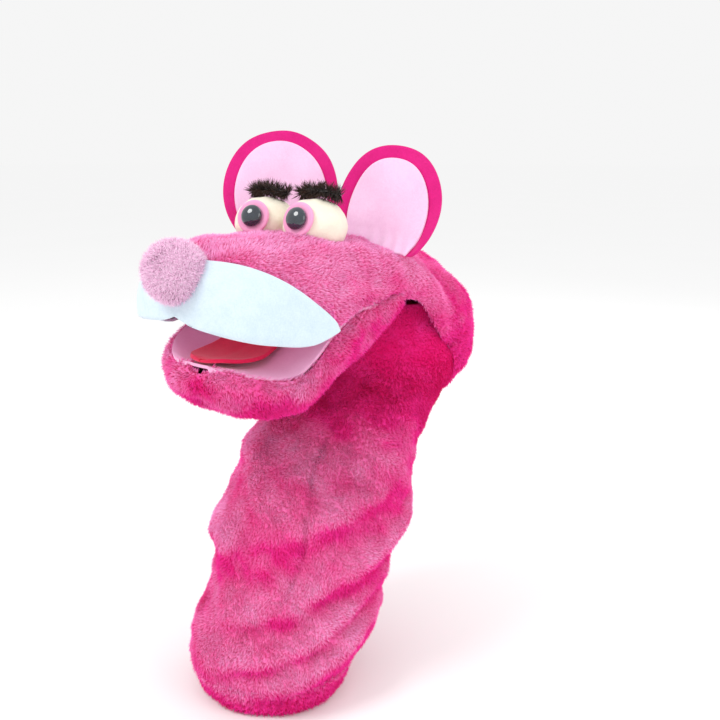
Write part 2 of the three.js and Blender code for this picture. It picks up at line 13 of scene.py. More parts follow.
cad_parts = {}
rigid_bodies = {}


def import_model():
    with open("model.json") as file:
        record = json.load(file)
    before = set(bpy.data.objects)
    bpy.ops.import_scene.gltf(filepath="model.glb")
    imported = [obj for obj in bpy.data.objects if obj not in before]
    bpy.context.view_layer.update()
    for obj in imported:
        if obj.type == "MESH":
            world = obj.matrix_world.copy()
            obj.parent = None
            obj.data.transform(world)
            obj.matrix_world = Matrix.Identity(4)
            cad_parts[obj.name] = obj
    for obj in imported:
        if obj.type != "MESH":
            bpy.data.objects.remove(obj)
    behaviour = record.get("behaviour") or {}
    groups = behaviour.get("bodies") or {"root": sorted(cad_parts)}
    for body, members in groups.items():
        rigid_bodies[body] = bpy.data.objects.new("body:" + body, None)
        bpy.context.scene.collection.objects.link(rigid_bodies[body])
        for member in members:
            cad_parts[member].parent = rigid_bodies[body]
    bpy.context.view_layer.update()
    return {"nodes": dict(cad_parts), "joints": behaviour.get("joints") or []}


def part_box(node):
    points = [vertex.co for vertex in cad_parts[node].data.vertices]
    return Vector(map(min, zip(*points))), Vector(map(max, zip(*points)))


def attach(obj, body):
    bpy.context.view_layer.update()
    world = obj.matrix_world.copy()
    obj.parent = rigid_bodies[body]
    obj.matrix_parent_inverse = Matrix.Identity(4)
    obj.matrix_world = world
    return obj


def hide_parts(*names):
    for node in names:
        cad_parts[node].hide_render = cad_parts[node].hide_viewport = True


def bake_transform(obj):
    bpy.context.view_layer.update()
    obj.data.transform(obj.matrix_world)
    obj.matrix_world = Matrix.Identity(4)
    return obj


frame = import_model()
MM = 0.001
scene = bpy.context.scene
scene.view_settings.view_transform = "Standard"
pivots = {j["name"]: np.array(j["pos_m"]) / MM for j in frame["joints"]}
hinge, wrist, seam = pivots["jaw_hinge"], pivots["head_nod"], pivots["head_turn"]


def box_mm(node):
    low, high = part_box(node)
    return np.array(low) / MM, np.array(high) / MM


# ---------------------------------------------------------------- camera, light and floor
AIM = Vector((0, 69, 164)) * MM
AZIMUTH, ELEVATION, DISTANCE = math.radians(38), math.radians(13), 0.520
FOCAL = 44.85


def place_camera():
    back = Vector((math.sin(AZIMUTH) * math.cos(ELEVATION), -math.cos(AZIMUTH) * math.cos(ELEVATION),
                   math.sin(ELEVATION)))
    camera = bpy.data.objects.new("camera", bpy.data.cameras.new("camera"))
    camera.data.lens = FOCAL
    camera.data.clip_start = 0.01
    camera.location = AIM + back * DISTANCE
    camera.rotation_euler = (-back).to_track_quat("-Z", "Y").to_euler()
    scene.collection.objects.link(camera)
    scene.camera = camera


def area_light(name, place, size, watts, colour=(1, 1, 1)):
    lamp = bpy.data.lights.new(name, "AREA")
    lamp.shape, lamp.size, lamp.energy, lamp.color = "DISK", size, watts, colour
    holder = bpy.data.objects.new(name, lamp)
    holder.location = place
    holder.rotation_euler = (AIM - Vector(place)).to_track_quat("-Z", "Y").to_euler()
    scene.collection.objects.link(holder)


def place_lights():
    world = bpy.data.worlds.new("studio")
    world.use_nodes = True
    world.node_tree.nodes["Background"].inputs["Color"].default_value = (1, 1, 1, 1)
    world.node_tree.nodes["Background"].inputs["Strength"].default_value = 0.92
    scene.world = world
    area_light("key", (-0.25, -0.75, 1.05), 0.5, 5.0)
    area_light("side", (1.0, 0.0, 0.55), 0.7, 2.0)
    area_light("rim", (0.2, 0.9, 0.8), 0.7, 2.0)


# ---------------------------------------------------------------- small tools for shapes
def smooth(x):
    x = np.clip(x, 0, 1)
    return x * x * (3 - 2 * x)


def through(table):
    """A smooth curve through listed (place, value) knots, flat beyond both ends."""
    places, values = (np.array(c, float) for c in zip(*table))
    slopes = np.gradient(values, places)

    def at(x):
        x = np.clip(np.asarray(x, float), places[0], places[-1])
        k = np.clip(np.searchsorted(places, x) - 1, 0, len(places) - 2)
        w = places[k + 1] - places[k]
        s = (x - places[k]) / w
        return ((2 * s**3 - 3 * s**2 + 1) * values[k] + (s**3 - 2 * s**2 + s) * w * slopes[k]
                + (3 * s**2 - 2 * s**3) * values[k + 1] + (s**3 - s**2) * w * slopes[k + 1])
    return at


def ripple(points, size, seed, waves=14):
    """Smooth random values of about -1 to 1 over points, with features of that size."""
    rng = np.random.default_rng(seed)
    total = np.zeros(len(points))
    for _ in range(waves):
        direction = rng.normal(size=3)
        direction *= (0.6 + 0.8 * rng.random()) * 2 * math.pi / size / np.linalg.norm(direction)
        total += np.sin(points @ direction + rng.random() * 2 * math.pi)
    return total / math.sqrt(waves) * 1.1


def unit(v):
    return v / np.maximum(np.linalg.norm(v, axis=-1, keepdims=True), 1e-9)


def grid_normals(grid, wrap):
    """Normals of a (rows, columns, 3) grid by its neighbours' differences."""
    du = np.gradient(grid, axis=0)
    if wrap:
        dv = (np.roll(grid, -1, axis=1) - np.roll(grid, 1, axis=1)) / 2
    else:
        dv = np.gradient(grid, axis=1)
    return unit(np.cross(du, dv))


def mesh_object(name, points, faces, materials=()):
    mesh = bpy.data.meshes.new(name)
    mesh.from_pydata((np.asarray(points, float) * MM).tolist(), [], [tuple(int(i) for i in f) for f in faces])
    mesh.validate()
    mesh.polygons.foreach_set("use_smooth", [True] * len(mesh.polygons))
    piece = bpy.data.objects.new(name, mesh)
    for m in materials:
        mesh.materials.append(m)
    scene.collection.objects.link(piece)
    return piece


def grid_faces(rows, columns, wrap=False, flip=False):
    faces = []
    last = columns if wrap else columns - 1
    for r in range(rows - 1):
        for c in range(last):
            d = (c + 1) % columns
            quad = (r * columns + c, r * columns + d, (r + 1) * columns + d, (r + 1) * columns + c)
            faces.append(quad[::-1] if flip else quad)
    return faces


def applied(piece):
    """The piece with its modifiers worked into its mesh."""
    graph = bpy.context.evaluated_depsgraph_get()
    graph.update()
    mesh = bpy.data.meshes.new_from_object(piece.evaluated_get(graph))
    old = piece.data
    piece.modifiers.clear()
    piece.data = mesh
    mesh.name = piece.name
    bpy.data.meshes.remove(old)
    return piece


def weld(piece, distance):
    m = piece.modifiers.new("weld", "WELD")
    m.merge_threshold = distance * MM
    return applied(piece)


def thicken(piece, thick, levels=1):
    """A wall inside the outer surface, lined with the second material, with a rounded rim."""
    s = piece.modifiers.new("wall", "SOLIDIFY")
    s.thickness, s.offset, s.use_even_offset = thick * MM, -1, True
    s.material_offset, s.material_offset_rim = 1, 0
    if levels:
        sub = piece.modifiers.new("round", "SUBSURF")
        sub.levels = sub.render_levels = levels
    return applied(piece)


def outward(piece, centre):
    """Turns all faces over if they point towards a line of inner points."""
    mesh = piece.data
    total = 0.0
    for f in mesh.polygons:
        c = np.array(f.center)
        total += float((c - centre(c)) @ np.array(f.normal)) * f.area
    if total < 0:
        mesh.flip_normals()
    return piece


def vertices_of(piece):
    co = np.empty(len(piece.data.vertices) * 3, np.float32)
    piece.data.vertices.foreach_get("co", co)
    return co.reshape(-1, 3).astype(float) / MM


def normals_of(piece):
    n = np.empty(len(piece.data.vertices) * 3, np.float32)
    piece.data.vertices.foreach_get("normal", n)
    return n.reshape(-1, 3).astype(float)


def put(piece, name, values):
    """Stores a value or a vector for each point."""
    kind = "FLOAT" if np.ndim(values) == 1 else "FLOAT_VECTOR"
    a = piece.data.attributes.new(name, kind, "POINT")
    a.data.foreach_set("value" if kind == "FLOAT" else "vector", np.asarray(values, np.float32).ravel())


# ---------------------------------------------------------------- finishes
def srgb(r, g, b):
    def one(c):
        c /= 255
        return c / 12.92 if c <= 0.04045 else ((c + 0.055) / 1.055) ** 2.4
    return (one(r), one(g), one(b), 1)


class Finish:
    """A material and short ways to add its nodes."""

    def __init__(self, name):
        self.material = bpy.data.materials.new(name)
        self.material.use_nodes = True
        self.tree = self.material.node_tree
        self.shader = self.tree.nodes["Principled BSDF"]

    def node(self, kind, **inputs):
        n = self.tree.nodes.new(kind)
        for key, value in inputs.items():
            socket = n.inputs[key.replace("_", " ")] if key.replace("_", " ") in n.inputs else None
            if socket is None:
                setattr(n, key, value)
            elif isinstance(value, bpy.types.NodeSocket):
                self.tree.links.new(value, socket)
            else:
                socket.default_value = value
        return n

    def link(self, a, b):
        self.tree.links.new(a, b)

    def shade(self, **values):
        for key, value in values.items():
            socket = self.shader.inputs[key.replace("_", " ")]
            if isinstance(value, bpy.types.NodeSocket):
                self.link(value, socket)
            else:
                socket.default_value = value
        return self.material


def group_tree(name, inputs, outputs):
    tree = bpy.data.node_groups.new(name, "ShaderNodeTree")
    for n, kind, value in inputs:
        s = tree.interface.new_socket(name=n, in_out="INPUT", socket_type=kind)
        s.default_value = value
    for n, kind in outputs:
        tree.interface.new_socket(name=n, in_out="OUTPUT", socket_type=kind)
    return tree, tree.nodes.new("NodeGroupInput"), tree.nodes.new("NodeGroupOutput")


def mix_colours(tree, fac, a, b):
    n = tree.nodes.new("ShaderNodeMix")
    n.data_type, n.blend_type = "RGBA", "MIX"
    # the colour sockets share their names with the float ones, so they are taken by number
    sockets = [n.inputs[0], n.inputs[6], n.inputs[7]]
    for value, socket in zip((fac, a, b), sockets):
        if isinstance(value, bpy.types.NodeSocket):
            tree.links.new(value, socket)
        else:
            socket.default_value = value
    return n.outputs[2]


def scalar(tree, operation, a, b=0.0, c=None, clamp=False):
    n = tree.nodes.new("ShaderNodeMath")
    n.operation, n.use_clamp = operation, clamp
    for value, socket in zip((a, b, c), n.inputs):
        if value is None:
            continue
        if isinstance(value, bpy.types.NodeSocket):
            tree.links.new(value, socket)
        else:
            socket.default_value = value
    return n.outputs[0]


def object_noise(tree, size, detail=2.0, rough=0.5, stretch=(1, 1, 1)):
    """Noise over Object coordinates with features of that size, about 0 to 1."""
    where = tree.nodes.new("ShaderNodeTexCoord")
    mapping = tree.nodes.new("ShaderNodeMapping")
    mapping.inputs["Scale"].default_value = stretch
    tree.links.new(where.outputs["Object"], mapping.inputs["Vector"])
    n = tree.nodes.new("ShaderNodeTexNoise")
    n.inputs["Scale"].default_value = 1 / (size * MM)
    n.inputs["Detail"].default_value = detail
    n.inputs["Roughness"].default_value = rough
    tree.links.new(mapping.outputs["Vector"], n.inputs["Vector"])
    return n.outputs["Fac"]


def build_nap_tone():
    """Plush colour: deep at the roots and light at the tips as painted shade in the pile's depth, with random
    nap patches and painted light and shade from the given tone.
    """
    tree, given, out = group_tree("nap_tone", [
        ("Deep", "NodeSocketColor", (1, 0, 0, 1)), ("Middle", "NodeSocketColor", (1, 0, 0, 1)),
        ("Light", "NodeSocketColor", (1, 0, 0, 1)), ("Along", "NodeSocketFloat", 0.5),
        ("Brushed", "NodeSocketFloat", 0.5), ("Speckle mm", "NodeSocketFloat", 1.4)],
        [("Color", "NodeSocketColor"), ("Rough", "NodeSocketFloat")])
    speck = object_noise(tree, 1.3, 1.0)
    patch = object_noise(tree, 9.0, 2.0, 0.6)
    lift = scalar(tree, "MULTIPLY_ADD", speck, 0.30, scalar(tree, "MULTIPLY_ADD", patch, 0.50, -0.40))
    # the given tone holds painted light and shade; the noise adds random nap patches
    raised = scalar(tree, "ADD", given.outputs["Brushed"], lift)
    light = scalar(tree, "MULTIPLY", raised, 1.0, clamp=True)
    deep = scalar(tree, "MULTIPLY", raised, -1.0, clamp=True)
    body = mix_colours(tree, light, given.outputs["Middle"], given.outputs["Light"])
    body = mix_colours(tree, deep, body, given.outputs["Deep"])
    # painted shade: the roots take the deep tone and only the tips the full body tone
    depth = scalar(tree, "MULTIPLY_ADD", given.outputs["Along"], 1.4, 0.15, clamp=True)
    colour = mix_colours(tree, depth, given.outputs["Deep"], body)
    tree.links.new(colour, out.inputs["Color"])
    tree.links.new(scalar(tree, "MULTIPLY_ADD", speck, 0.2, 0.7), out.inputs["Rough"])
    return tree


def build_felt_fibre():
    """Matted fibre: short streaks two ways over soft blotches."""
    tree, given, out = group_tree("felt_fibre", [
        ("Base", "NodeSocketColor", (1, 1, 1, 1)), ("Shade", "NodeSocketColor", (1, 1, 1, 1)),
        ("Contrast", "NodeSocketFloat", 0.5)],
        [("Color", "NodeSocketColor"), ("Height", "NodeSocketFloat"), ("Rough", "NodeSocketFloat")])
    one = object_noise(tree, 0.55, 3.0, 0.65, (1, 0.28, 1))
    two = object_noise(tree, 0.6, 3.0, 0.65, (0.3, 1, 0.4))
    blotch = object_noise(tree, 7.0, 3.0, 0.6)
    fibre = scalar(tree, "MULTIPLY_ADD", one, 0.5, scalar(tree, "MULTIPLY", two, 0.5))
    mask = scalar(tree, "MULTIPLY_ADD", fibre, 1.6, scalar(tree, "MULTIPLY_ADD", blotch, 0.8, -0.95))
    mask = scalar(tree, "MULTIPLY", mask, given.outputs["Contrast"], clamp=True)
    tree.links.new(mix_colours(tree, mask, given.outputs["Base"], given.outputs["Shade"]),
                   out.inputs["Color"])
    tree.links.new(fibre, out.inputs["Height"])
    tree.links.new(scalar(tree, "MULTIPLY_ADD", fibre, 0.25, 0.72), out.inputs["Rough"])
    return tree


NAP_TONE = build_nap_tone()
FELT_FIBRE = build_felt_fibre()


def use_group(f, tree, **values):
    n = f.tree.nodes.new("ShaderNodeGroup")
    n.node_tree = tree
    for key, value in values.items():
        socket = n.inputs[key]
        if isinstance(value, bpy.types.NodeSocket):
            f.link(value, socket)
        else:
            socket.default_value = value
    return n


def plush_pile(name, deep, middle, light):
    f = Finish(name)
    along = f.node("ShaderNodeAttribute", attribute_name="along")
    # the stored tone: painted light and shade with random nap patches
    brushed = f.node("ShaderNodeAttribute", attribute_name="brushed")
    tone = use_group(f, NAP_TONE, Deep=deep, Middle=middle, Light=light, Along=along.outputs["Fac"],
                     Brushed=brushed.outputs["Fac"])
    return f.shade(Base_Color=tone.outputs["Color"], Roughness=tone.outputs["Rough"], Sheen_Weight=0.1,
                   Sheen_Roughness=0.5, Sheen_Tint=(1, 0.35, 0.75, 1), Specular_IOR_Level=0.05)


def plush_ground(name, deep, middle, light):
    f = Finish(name)
    # the stored tone: painted light and shade with random nap patches; the fixed share along gives the ground
    # part of the deep tone, painted shade between the tufts
    brushed = f.node("ShaderNodeAttribute", attribute_name="brushed")
    tone = use_group(f, NAP_TONE, Deep=deep, Middle=middle, Light=light, Along=0.45,
                     Brushed=brushed.outputs["Fac"])
    bump = f.node("ShaderNodeBump", Strength=0.5, Distance=0.0006, Height=object_noise(f.tree, 0.8, 2.0))
    return f.shade(Base_Color=tone.outputs["Color"], Roughness=tone.outputs["Rough"],
                   Normal=bump.outputs["Normal"], Specular_IOR_Level=0.05)


def felt(name, base, shade, contrast=0.6, depth=0.00025):
    f = Finish(name)
    fibre = use_group(f, FELT_FIBRE, Base=base, Shade=shade, Contrast=contrast)
    bump = f.node("ShaderNodeBump", Strength=0.55, Distance=depth, Height=fibre.outputs["Height"])
    return f.shade(Base_Color=fibre.outputs["Color"], Roughness=fibre.outputs["Rough"],
                   Normal=bump.outputs["Normal"], Sheen_Weight=0.25, Sheen_Roughness=0.5,
                   Specular_IOR_Level=0.15)


def fibre_finish(name, deep, light, rough=0.7, sheen=0.2):
    f = Finish(name)
    along = f.node("ShaderNodeAttribute", attribute_name="along")
    speck = object_noise(f.tree, 1.2, 1.0)
    # painted shade and light: the deep tone at the roots and the light tone towards the tips, with random
    # specks
    fac = scalar(f.tree, "MULTIPLY_ADD", along.outputs["Fac"], 0.9,
                 scalar(f.tree, "MULTIPLY_ADD", speck, 0.5, -0.25),
                 clamp=True)
    return f.shade(Base_Color=mix_colours(f.tree, fac, deep, light), Roughness=rough, Sheen_Weight=sheen,
                   Specular_IOR_Level=0.2)


def plain_grain(name, base, shade, size, rough, metal=0.0, stretch=(1, 1, 1), strength=0.3):
    """Board, wadding, tape and wire: a noise in two tones with a little relief."""
    f = Finish(name)
    grain = object_noise(f.tree, size, 3.0, 0.6, stretch)
    bump = f.node("ShaderNodeBump", Strength=strength, Distance=0.0003, Height=grain)
    return f.shade(Base_Color=mix_colours(f.tree, grain, base, shade), Roughness=rough, Metallic=metal,
                   Normal=bump.outputs["Normal"])


# the deep tone paints shade at the roots and in the hollow under the head; the light tone paints light on
# tips and upward faces
PINK_DEEP, PINK_MIDDLE, PINK_LIGHT = srgb(218, 6, 96), srgb(252, 60, 170), srgb(255, 184, 232)
PLUSH = plush_pile("plush_pile", PINK_DEEP, PINK_MIDDLE, PINK_LIGHT)
PLUSH_GROUND = plush_ground("plush_ground", PINK_DEEP, srgb(252, 66, 172), srgb(255, 160, 218))
BACKING = plain_grain("knitted_backing", srgb(226, 92, 160), srgb(196, 60, 130), 0.9, 0.9,
                      stretch=(1, 1, 0.5))
PALE_FELT = felt("pale_pink_felt", srgb(246, 206, 236), srgb(228, 176, 214), 0.75)
LINING_FELT = felt("lining_felt", srgb(252, 194, 228), srgb(232, 162, 206))
MAGENTA_FELT = felt("magenta_felt", srgb(222, 28, 130), srgb(186, 14, 100), 0.8)
MUZZLE_FELT = felt("muzzle_felt", srgb(216, 232, 241), srgb(182, 204, 218), 0.8)
TONGUE_FELT = felt("tongue_felt", srgb(240, 40, 92), srgb(202, 22, 66), 0.8)
DISC_FELT = felt("disc_felt", srgb(252, 172, 212), srgb(240, 150, 196), 0.4)
EYE_CLOTH = felt("eye_cloth", srgb(250, 243, 224), srgb(230, 218, 190), 0.5, 0.0004)
POMPOM_FIBRE = fibre_finish("pompom_fibre", srgb(255, 196, 234), srgb(255, 226, 246))
CHENILLE = fibre_finish("chenille", srgb(20, 12, 8), srgb(74, 48, 34), 0.45)
WIRE = plain_grain("wire", srgb(120, 120, 124), srgb(160, 160, 164), 0.5, 0.3, 1.0)
WADDING = plain_grain("wadding", srgb(246, 246, 244), srgb(224, 224, 220), 1.4, 0.95, strength=0.6)
BOARD = plain_grain("mouth_board", srgb(176, 150, 112), srgb(150, 124, 88), 1.2, 0.8, stretch=(1, 0.3, 1))
TAPE = plain_grain("cotton_tape", srgb(236, 230, 214), srgb(206, 198, 176), 0.6, 0.9, stretch=(1, 0.4, 1))


def glossy_button():
    f = Finish("button")
    swirl = object_noise(f.tree, 2.4, 1.0)
    return f.shade(Base_Color=mix_colours(f.tree, swirl, srgb(24, 30, 38), srgb(44, 56, 68)), Roughness=0.06,
                   Coat_Weight=1.0, Coat_Roughness=0.02)


BUTTON = glossy_button()


def floor_finish():
    f = Finish("floor")
    tone = object_noise(f.tree, 300, 1.0)
    return f.shade(Base_Color=mix_colours(f.tree, tone, (0.99, 0.99, 0.99, 1), (1.0, 1.0, 1.0, 1)),
                   Roughness=0.9,
                   Specular_IOR_Level=0.0)


# ---------------------------------------------------------------- fibres, laid by geometry nodes
def tuft_shape(name, blades, length, width, spread, lean, bend, seed, levels=2):
    """A few tapering blades from one root, with the share along each and a place in the tuft's map."""
    rng = np.random.default_rng(seed)
    points, faces, along, place = [], [], [], []
    for b in range(blades):
        turn = 2 * math.pi * (b + rng.random() * 0.5) / blades
        out = np.array([math.cos(turn), math.sin(turn), 0])
        side = np.array([-out[1], out[0], 0])
        root = out * spread * (0.3 + 0.7 * rng.random())
        tall = length * (0.8 + 0.4 * rng.random())
        first = len(points)
        for k in range(levels + 1):
            s = k / levels
            centre = root + out * tall * (lean * s
                                          + bend * s * s) + np.array([0, 0, tall * s * (1 - 0.25 * bend * s)])
            half = width / 2 * (1 - s) ** 0.6 if k < levels else 0
            ends = [centre - side * half, centre + side * half] if half else [centre]
            for e, q in enumerate(ends):
                points.append(q)
                along.append(s)
                place.append((0.1 + 0.8 * (b + 0.3 + 0.5 * e) / blades, 0.1 + 0.8 * s, 0))
        for k in range(levels - 1):
            a = first + 2 * k
            faces.append((a, a + 1, a + 3, a + 2))
        a = first + 2 * (levels - 1)
        faces.append((a, a + 1, a + 2))
    tuft = mesh_object(name, points, faces)
    put(tuft, "along", along)
    put(tuft, "tuft_place", place)
    tuft.hide_render = tuft.hide_viewport = True
    return tuft


def fibre_tree(name, on_points):
    """Lays tufts over a surface, or on a piece's own points, each along the stored direction."""
    tree = bpy.data.node_groups.new(name, "GeometryNodeTree")
    new = tree.interface.new_socket
    new(name="Geometry", in_out="INPUT", socket_type="NodeSocketGeometry")
    for n, kind, value in (("Tuft", "NodeSocketObject", None), ("Finish", "NodeSocketMaterial", None),
                           ("Furry", "NodeSocketMaterial", None), ("Density", "NodeSocketFloat", 1e6),
                           ("Smallest", "NodeSocketFloat", 0.8), ("Largest", "NodeSocketFloat", 1.2),
                           ("Cell", "NodeSocketFloat", 0.004), ("Seed", "NodeSocketInt", 1)):
        s = new(name=n, in_out="INPUT", socket_type=kind)
        if value is not None:
            s.default_value = value
    new(name="Geometry", in_out="OUTPUT", socket_type="NodeSocketGeometry")
    nodes, link = tree.nodes, tree.links.new
    given, out = nodes.new("NodeGroupInput"), nodes.new("NodeGroupOutput")
    if on_points:
        scatter = nodes.new("GeometryNodeMeshToPoints")
        link(given.outputs["Geometry"], scatter.inputs["Mesh"])
    else:
        scatter = nodes.new("GeometryNodeDistributePointsOnFaces")
        furry = nodes.new("GeometryNodeMaterialSelection")
        link(given.outputs["Furry"], furry.inputs["Material"])
        link(given.outputs["Geometry"], scatter.inputs["Mesh"])
        link(furry.outputs["Selection"], scatter.inputs["Selection"])
        link(given.outputs["Density"], scatter.inputs["Density"])
        link(given.outputs["Seed"], scatter.inputs["Seed"])
    lay = nodes.new("GeometryNodeInputNamedAttribute")
    lay.data_type = "FLOAT_VECTOR"
    lay.inputs["Name"].default_value = "lay"
    align = nodes.new("FunctionNodeAlignRotationToVector")
    align.axis = "Z"
    link(lay.outputs["Attribute"], align.inputs["Vector"])
    spin = nodes.new("FunctionNodeRandomValue")
    spin.data_type = "FLOAT_VECTOR"
    spin.inputs[0].default_value = (-0.12, -0.12, -3.14)
    spin.inputs[1].default_value = (0.12, 0.12, 3.14)
    link(given.outputs["Seed"], spin.inputs["Seed"])
    turn = nodes.new("FunctionNodeRotateRotation")
    turn.rotation_space = "LOCAL"
    link(align.outputs["Rotation"], turn.inputs["Rotation"])
    link(spin.outputs[0], turn.inputs["Rotate By"])
    grow = nodes.new("FunctionNodeRandomValue")
    grow.data_type = "FLOAT"
    link(given.outputs["Smallest"], grow.inputs[2])
    link(given.outputs["Largest"], grow.inputs[3])
    link(given.outputs["Seed"], grow.inputs["Seed"])
    tuft = nodes.new("GeometryNodeObjectInfo")
    link(given.outputs["Tuft"], tuft.inputs["Object"])
    lay_down = nodes.new("GeometryNodeInstanceOnPoints")
    link(scatter.outputs["Points"], lay_down.inputs["Points"])
    link(tuft.outputs["Geometry"], lay_down.inputs["Instance"])
    link(turn.outputs["Rotation"], lay_down.inputs["Rotation"])
    long = nodes.new("GeometryNodeInputNamedAttribute")
    long.data_type = "FLOAT"
    long.inputs["Name"].default_value = "long"
    size = nodes.new("ShaderNodeMath")
    size.operation = "MULTIPLY"
    link(grow.outputs[1], size.inputs[0])
    link(long.outputs["Attribute"], size.inputs[1])
    link(size.outputs[0], lay_down.inputs["Scale"])
    real = nodes.new("GeometryNodeRealizeInstances")
    link(lay_down.outputs["Instances"], real.inputs["Geometry"])
    root, local = (nodes.new("GeometryNodeInputNamedAttribute") for _ in range(2))
    for n, attribute in ((root, "root_place"), (local, "tuft_place")):
        n.data_type = "FLOAT_VECTOR"
        n.inputs["Name"].default_value = attribute
    spread = nodes.new("ShaderNodeVectorMath")
    spread.operation = "SCALE"
    link(local.outputs["Attribute"], spread.inputs[0])
    link(given.outputs["Cell"], spread.inputs["Scale"])
    total = nodes.new("ShaderNodeVectorMath")
    link(root.outputs["Attribute"], total.inputs[0])
    link(spread.outputs[0], total.inputs[1])
    store = nodes.new("GeometryNodeStoreNamedAttribute")
    store.data_type, store.domain = "FLOAT2", "CORNER"
    store.inputs["Name"].default_value = "OFBake"
    link(real.outputs["Geometry"], store.inputs["Geometry"])
    link(total.outputs[0], store.inputs["Value"])
    finish = nodes.new("GeometryNodeSetMaterial")
    link(store.outputs["Geometry"], finish.inputs["Geometry"])
    link(given.outputs["Finish"], finish.inputs["Material"])
    link(finish.outputs["Geometry"], out.inputs["Geometry"])
    return tree


OVER_SURFACE = fibre_tree("fibres_over_surface", False)
ON_POINTS = fibre_tree("fibres_on_points", True)


def lay_fibres(name, ground, tree, **values):
    """A new piece with the fibres of `ground`, which keeps its own mesh."""
    piece = bpy.data.objects.new(name, ground.data.copy())
    scene.collection.objects.link(piece)
    m = piece.modifiers.new("fibres", "NODES")
    m.node_group = tree
    sockets = {s.name: s.identifier for s in tree.interface.items_tree if s.in_out == "INPUT"}
    for key, value in values.items():
        m[sockets[key]] = value
    applied(piece)
    for a in ("lay", "long", "root_place", "tuft_place"):
        if a in piece.data.attributes:
            piece.data.attributes.remove(piece.data.attributes[a])
    piece.data.materials.clear()
    piece.data.materials.append(values["Finish"])
    return piece


PILE_LENGTH = 2.3
PLUSH_TUFT = tuft_shape("plush_tuft", 3, PILE_LENGTH, 0.40, 0.45, 0.10, 0.14, 3)
PLUSH_DENSITY = 1.25e6


def lay_of(points, normals, nap, tilt, swirl=0.5, seed=5):
    """Directions of a pile that leans `tilt` radians over along the nap, with wandering partings."""
    turn = ripple(points, 26, seed) * swirl
    flat = unit(nap - (nap * normals).sum(1, keepdims=True) * normals)
    across = np.cross(normals, flat)
    way = flat * np.cos(turn)[:, None] + across * np.sin(turn)[:, None]
    lean = tilt + 0.22 * ripple(points, 13, seed + 1)
    return unit(normals * np.cos(lean)[:, None] + way * np.sin(lean)[:, None])


def furry_part(ground, axis, low, high):
    """A copy of the ground's furry faces that lie between two places along an axis."""
    mesh = ground.data
    finish = np.empty(len(mesh.polygons), np.int32)
    mesh.polygons.foreach_get("material_index", finish)
    centre = np.empty(len(mesh.polygons) * 3, np.float32)
    mesh.polygons.foreach_get("center", centre)
    cut = centre[axis::3] / MM
    drop = (finish != 0) | (cut < low) | (cut >= high)
    part = bpy.data.objects.new("part", mesh.copy())
    scene.collection.objects.link(part)
    work = bmesh.new()
    work.from_mesh(part.data)
    work.faces.ensure_lookup_table()
    bmesh.ops.delete(work, geom=[work.faces[i] for i in np.flatnonzero(drop)], context="FACES")
    work.to_mesh(part.data)
    work.free()
    return part


def cover_with_pile(name, ground, nap, place, brushed, seed, axis=1, cuts=(), tilt=1.0, density=PLUSH_DENSITY,
                    longest=1.2,
                    shortest=0.75, length=None):
    """Gives a plush ground its stored directions, its tone of painted light and shade over random nap
    patches, and map, then its pile in a few parts.
    """
    points, normals = vertices_of(ground), normals_of(ground)
    # painted light and shade, stored with random nap patches, for the plush finishes
    put(ground, "brushed", brushed(points, normals))
    put(ground, "lay", lay_of(points, normals, nap(points), tilt, seed=seed))
    put(ground, "long", np.ones(len(points)) if length is None else length(points))
    u, v = place(points)
    put(ground, "root_place", np.stack([u, v, np.zeros(len(u))], 1))
    piles = []
    edges = [-1e4, *cuts, 1e4]
    for k, (low, high) in enumerate(zip(edges, edges[1:])):
        part = furry_part(ground, axis, low, high)
        piles.append(lay_fibres(f"{name}_{k + 1}", part, OVER_SURFACE, Tuft=PLUSH_TUFT, Finish=PLUSH,
                                Furry=PLUSH_GROUND, Density=density,
                                Smallest=shortest, Largest=longest, Cell=0.004, Seed=seed + k))
        bpy.data.objects.remove(part)
    for a in ("lay", "root_place", "long"):
        ground.data.attributes.remove(ground.data.attributes[a])
    return piles


# ---------------------------------------------------------------- the puppet's lines, near the frame's solids
HEAD_HALF, BACK_RADIUS, JAW_HALF = 51.0, 52.5, 50.0
SNOUT_MID_RISE, CROWN_RISE = -4.0, 29.0
cheek_y = hinge[1] - 21
tip_y, jaw_tip_y = box_mm("head_upper")[0][1], box_mm("jaw_lower")[0][1]
snout_z, crown_z = hinge[2] + SNOUT_MID_RISE, hinge[2] + CROWN_RISE
back_run = wrist[1] - hinge[1]
wrist_drop = hinge[2] - wrist[2]

lip_drop = through([(-100, 15), (-78, 18), (-60, 16.5), (-40, 11), (-20, 5), (0, 0)])
crown_fall = through([(-100, 0), (-30, 0), (0, 2), (back_run / 2, 6),
                      (back_run, 29 + wrist_drop - BACK_RADIUS)])
floor_curve = through([(-88, -27), (-80, -31.5), (-68, -34), (-56, -33), (-48, -30), (-36, -23.5),
                       (-20, -15.5),
                       (-8, -9.5), (0, -5)])
jaw_depth = through([(-88, 25), (-60, 25), (-30, 27), (-8, 24), (4, 20), (14, 14)])
CUP = (9.0, 12.0)                 # how far the jaw's left and right sides stand above its middle


def fullness(y, reach, power=3.0):
    t = np.clip((cheek_y - y) / reach, 0, 1)
    return (1 - t**power) ** (1 / power)


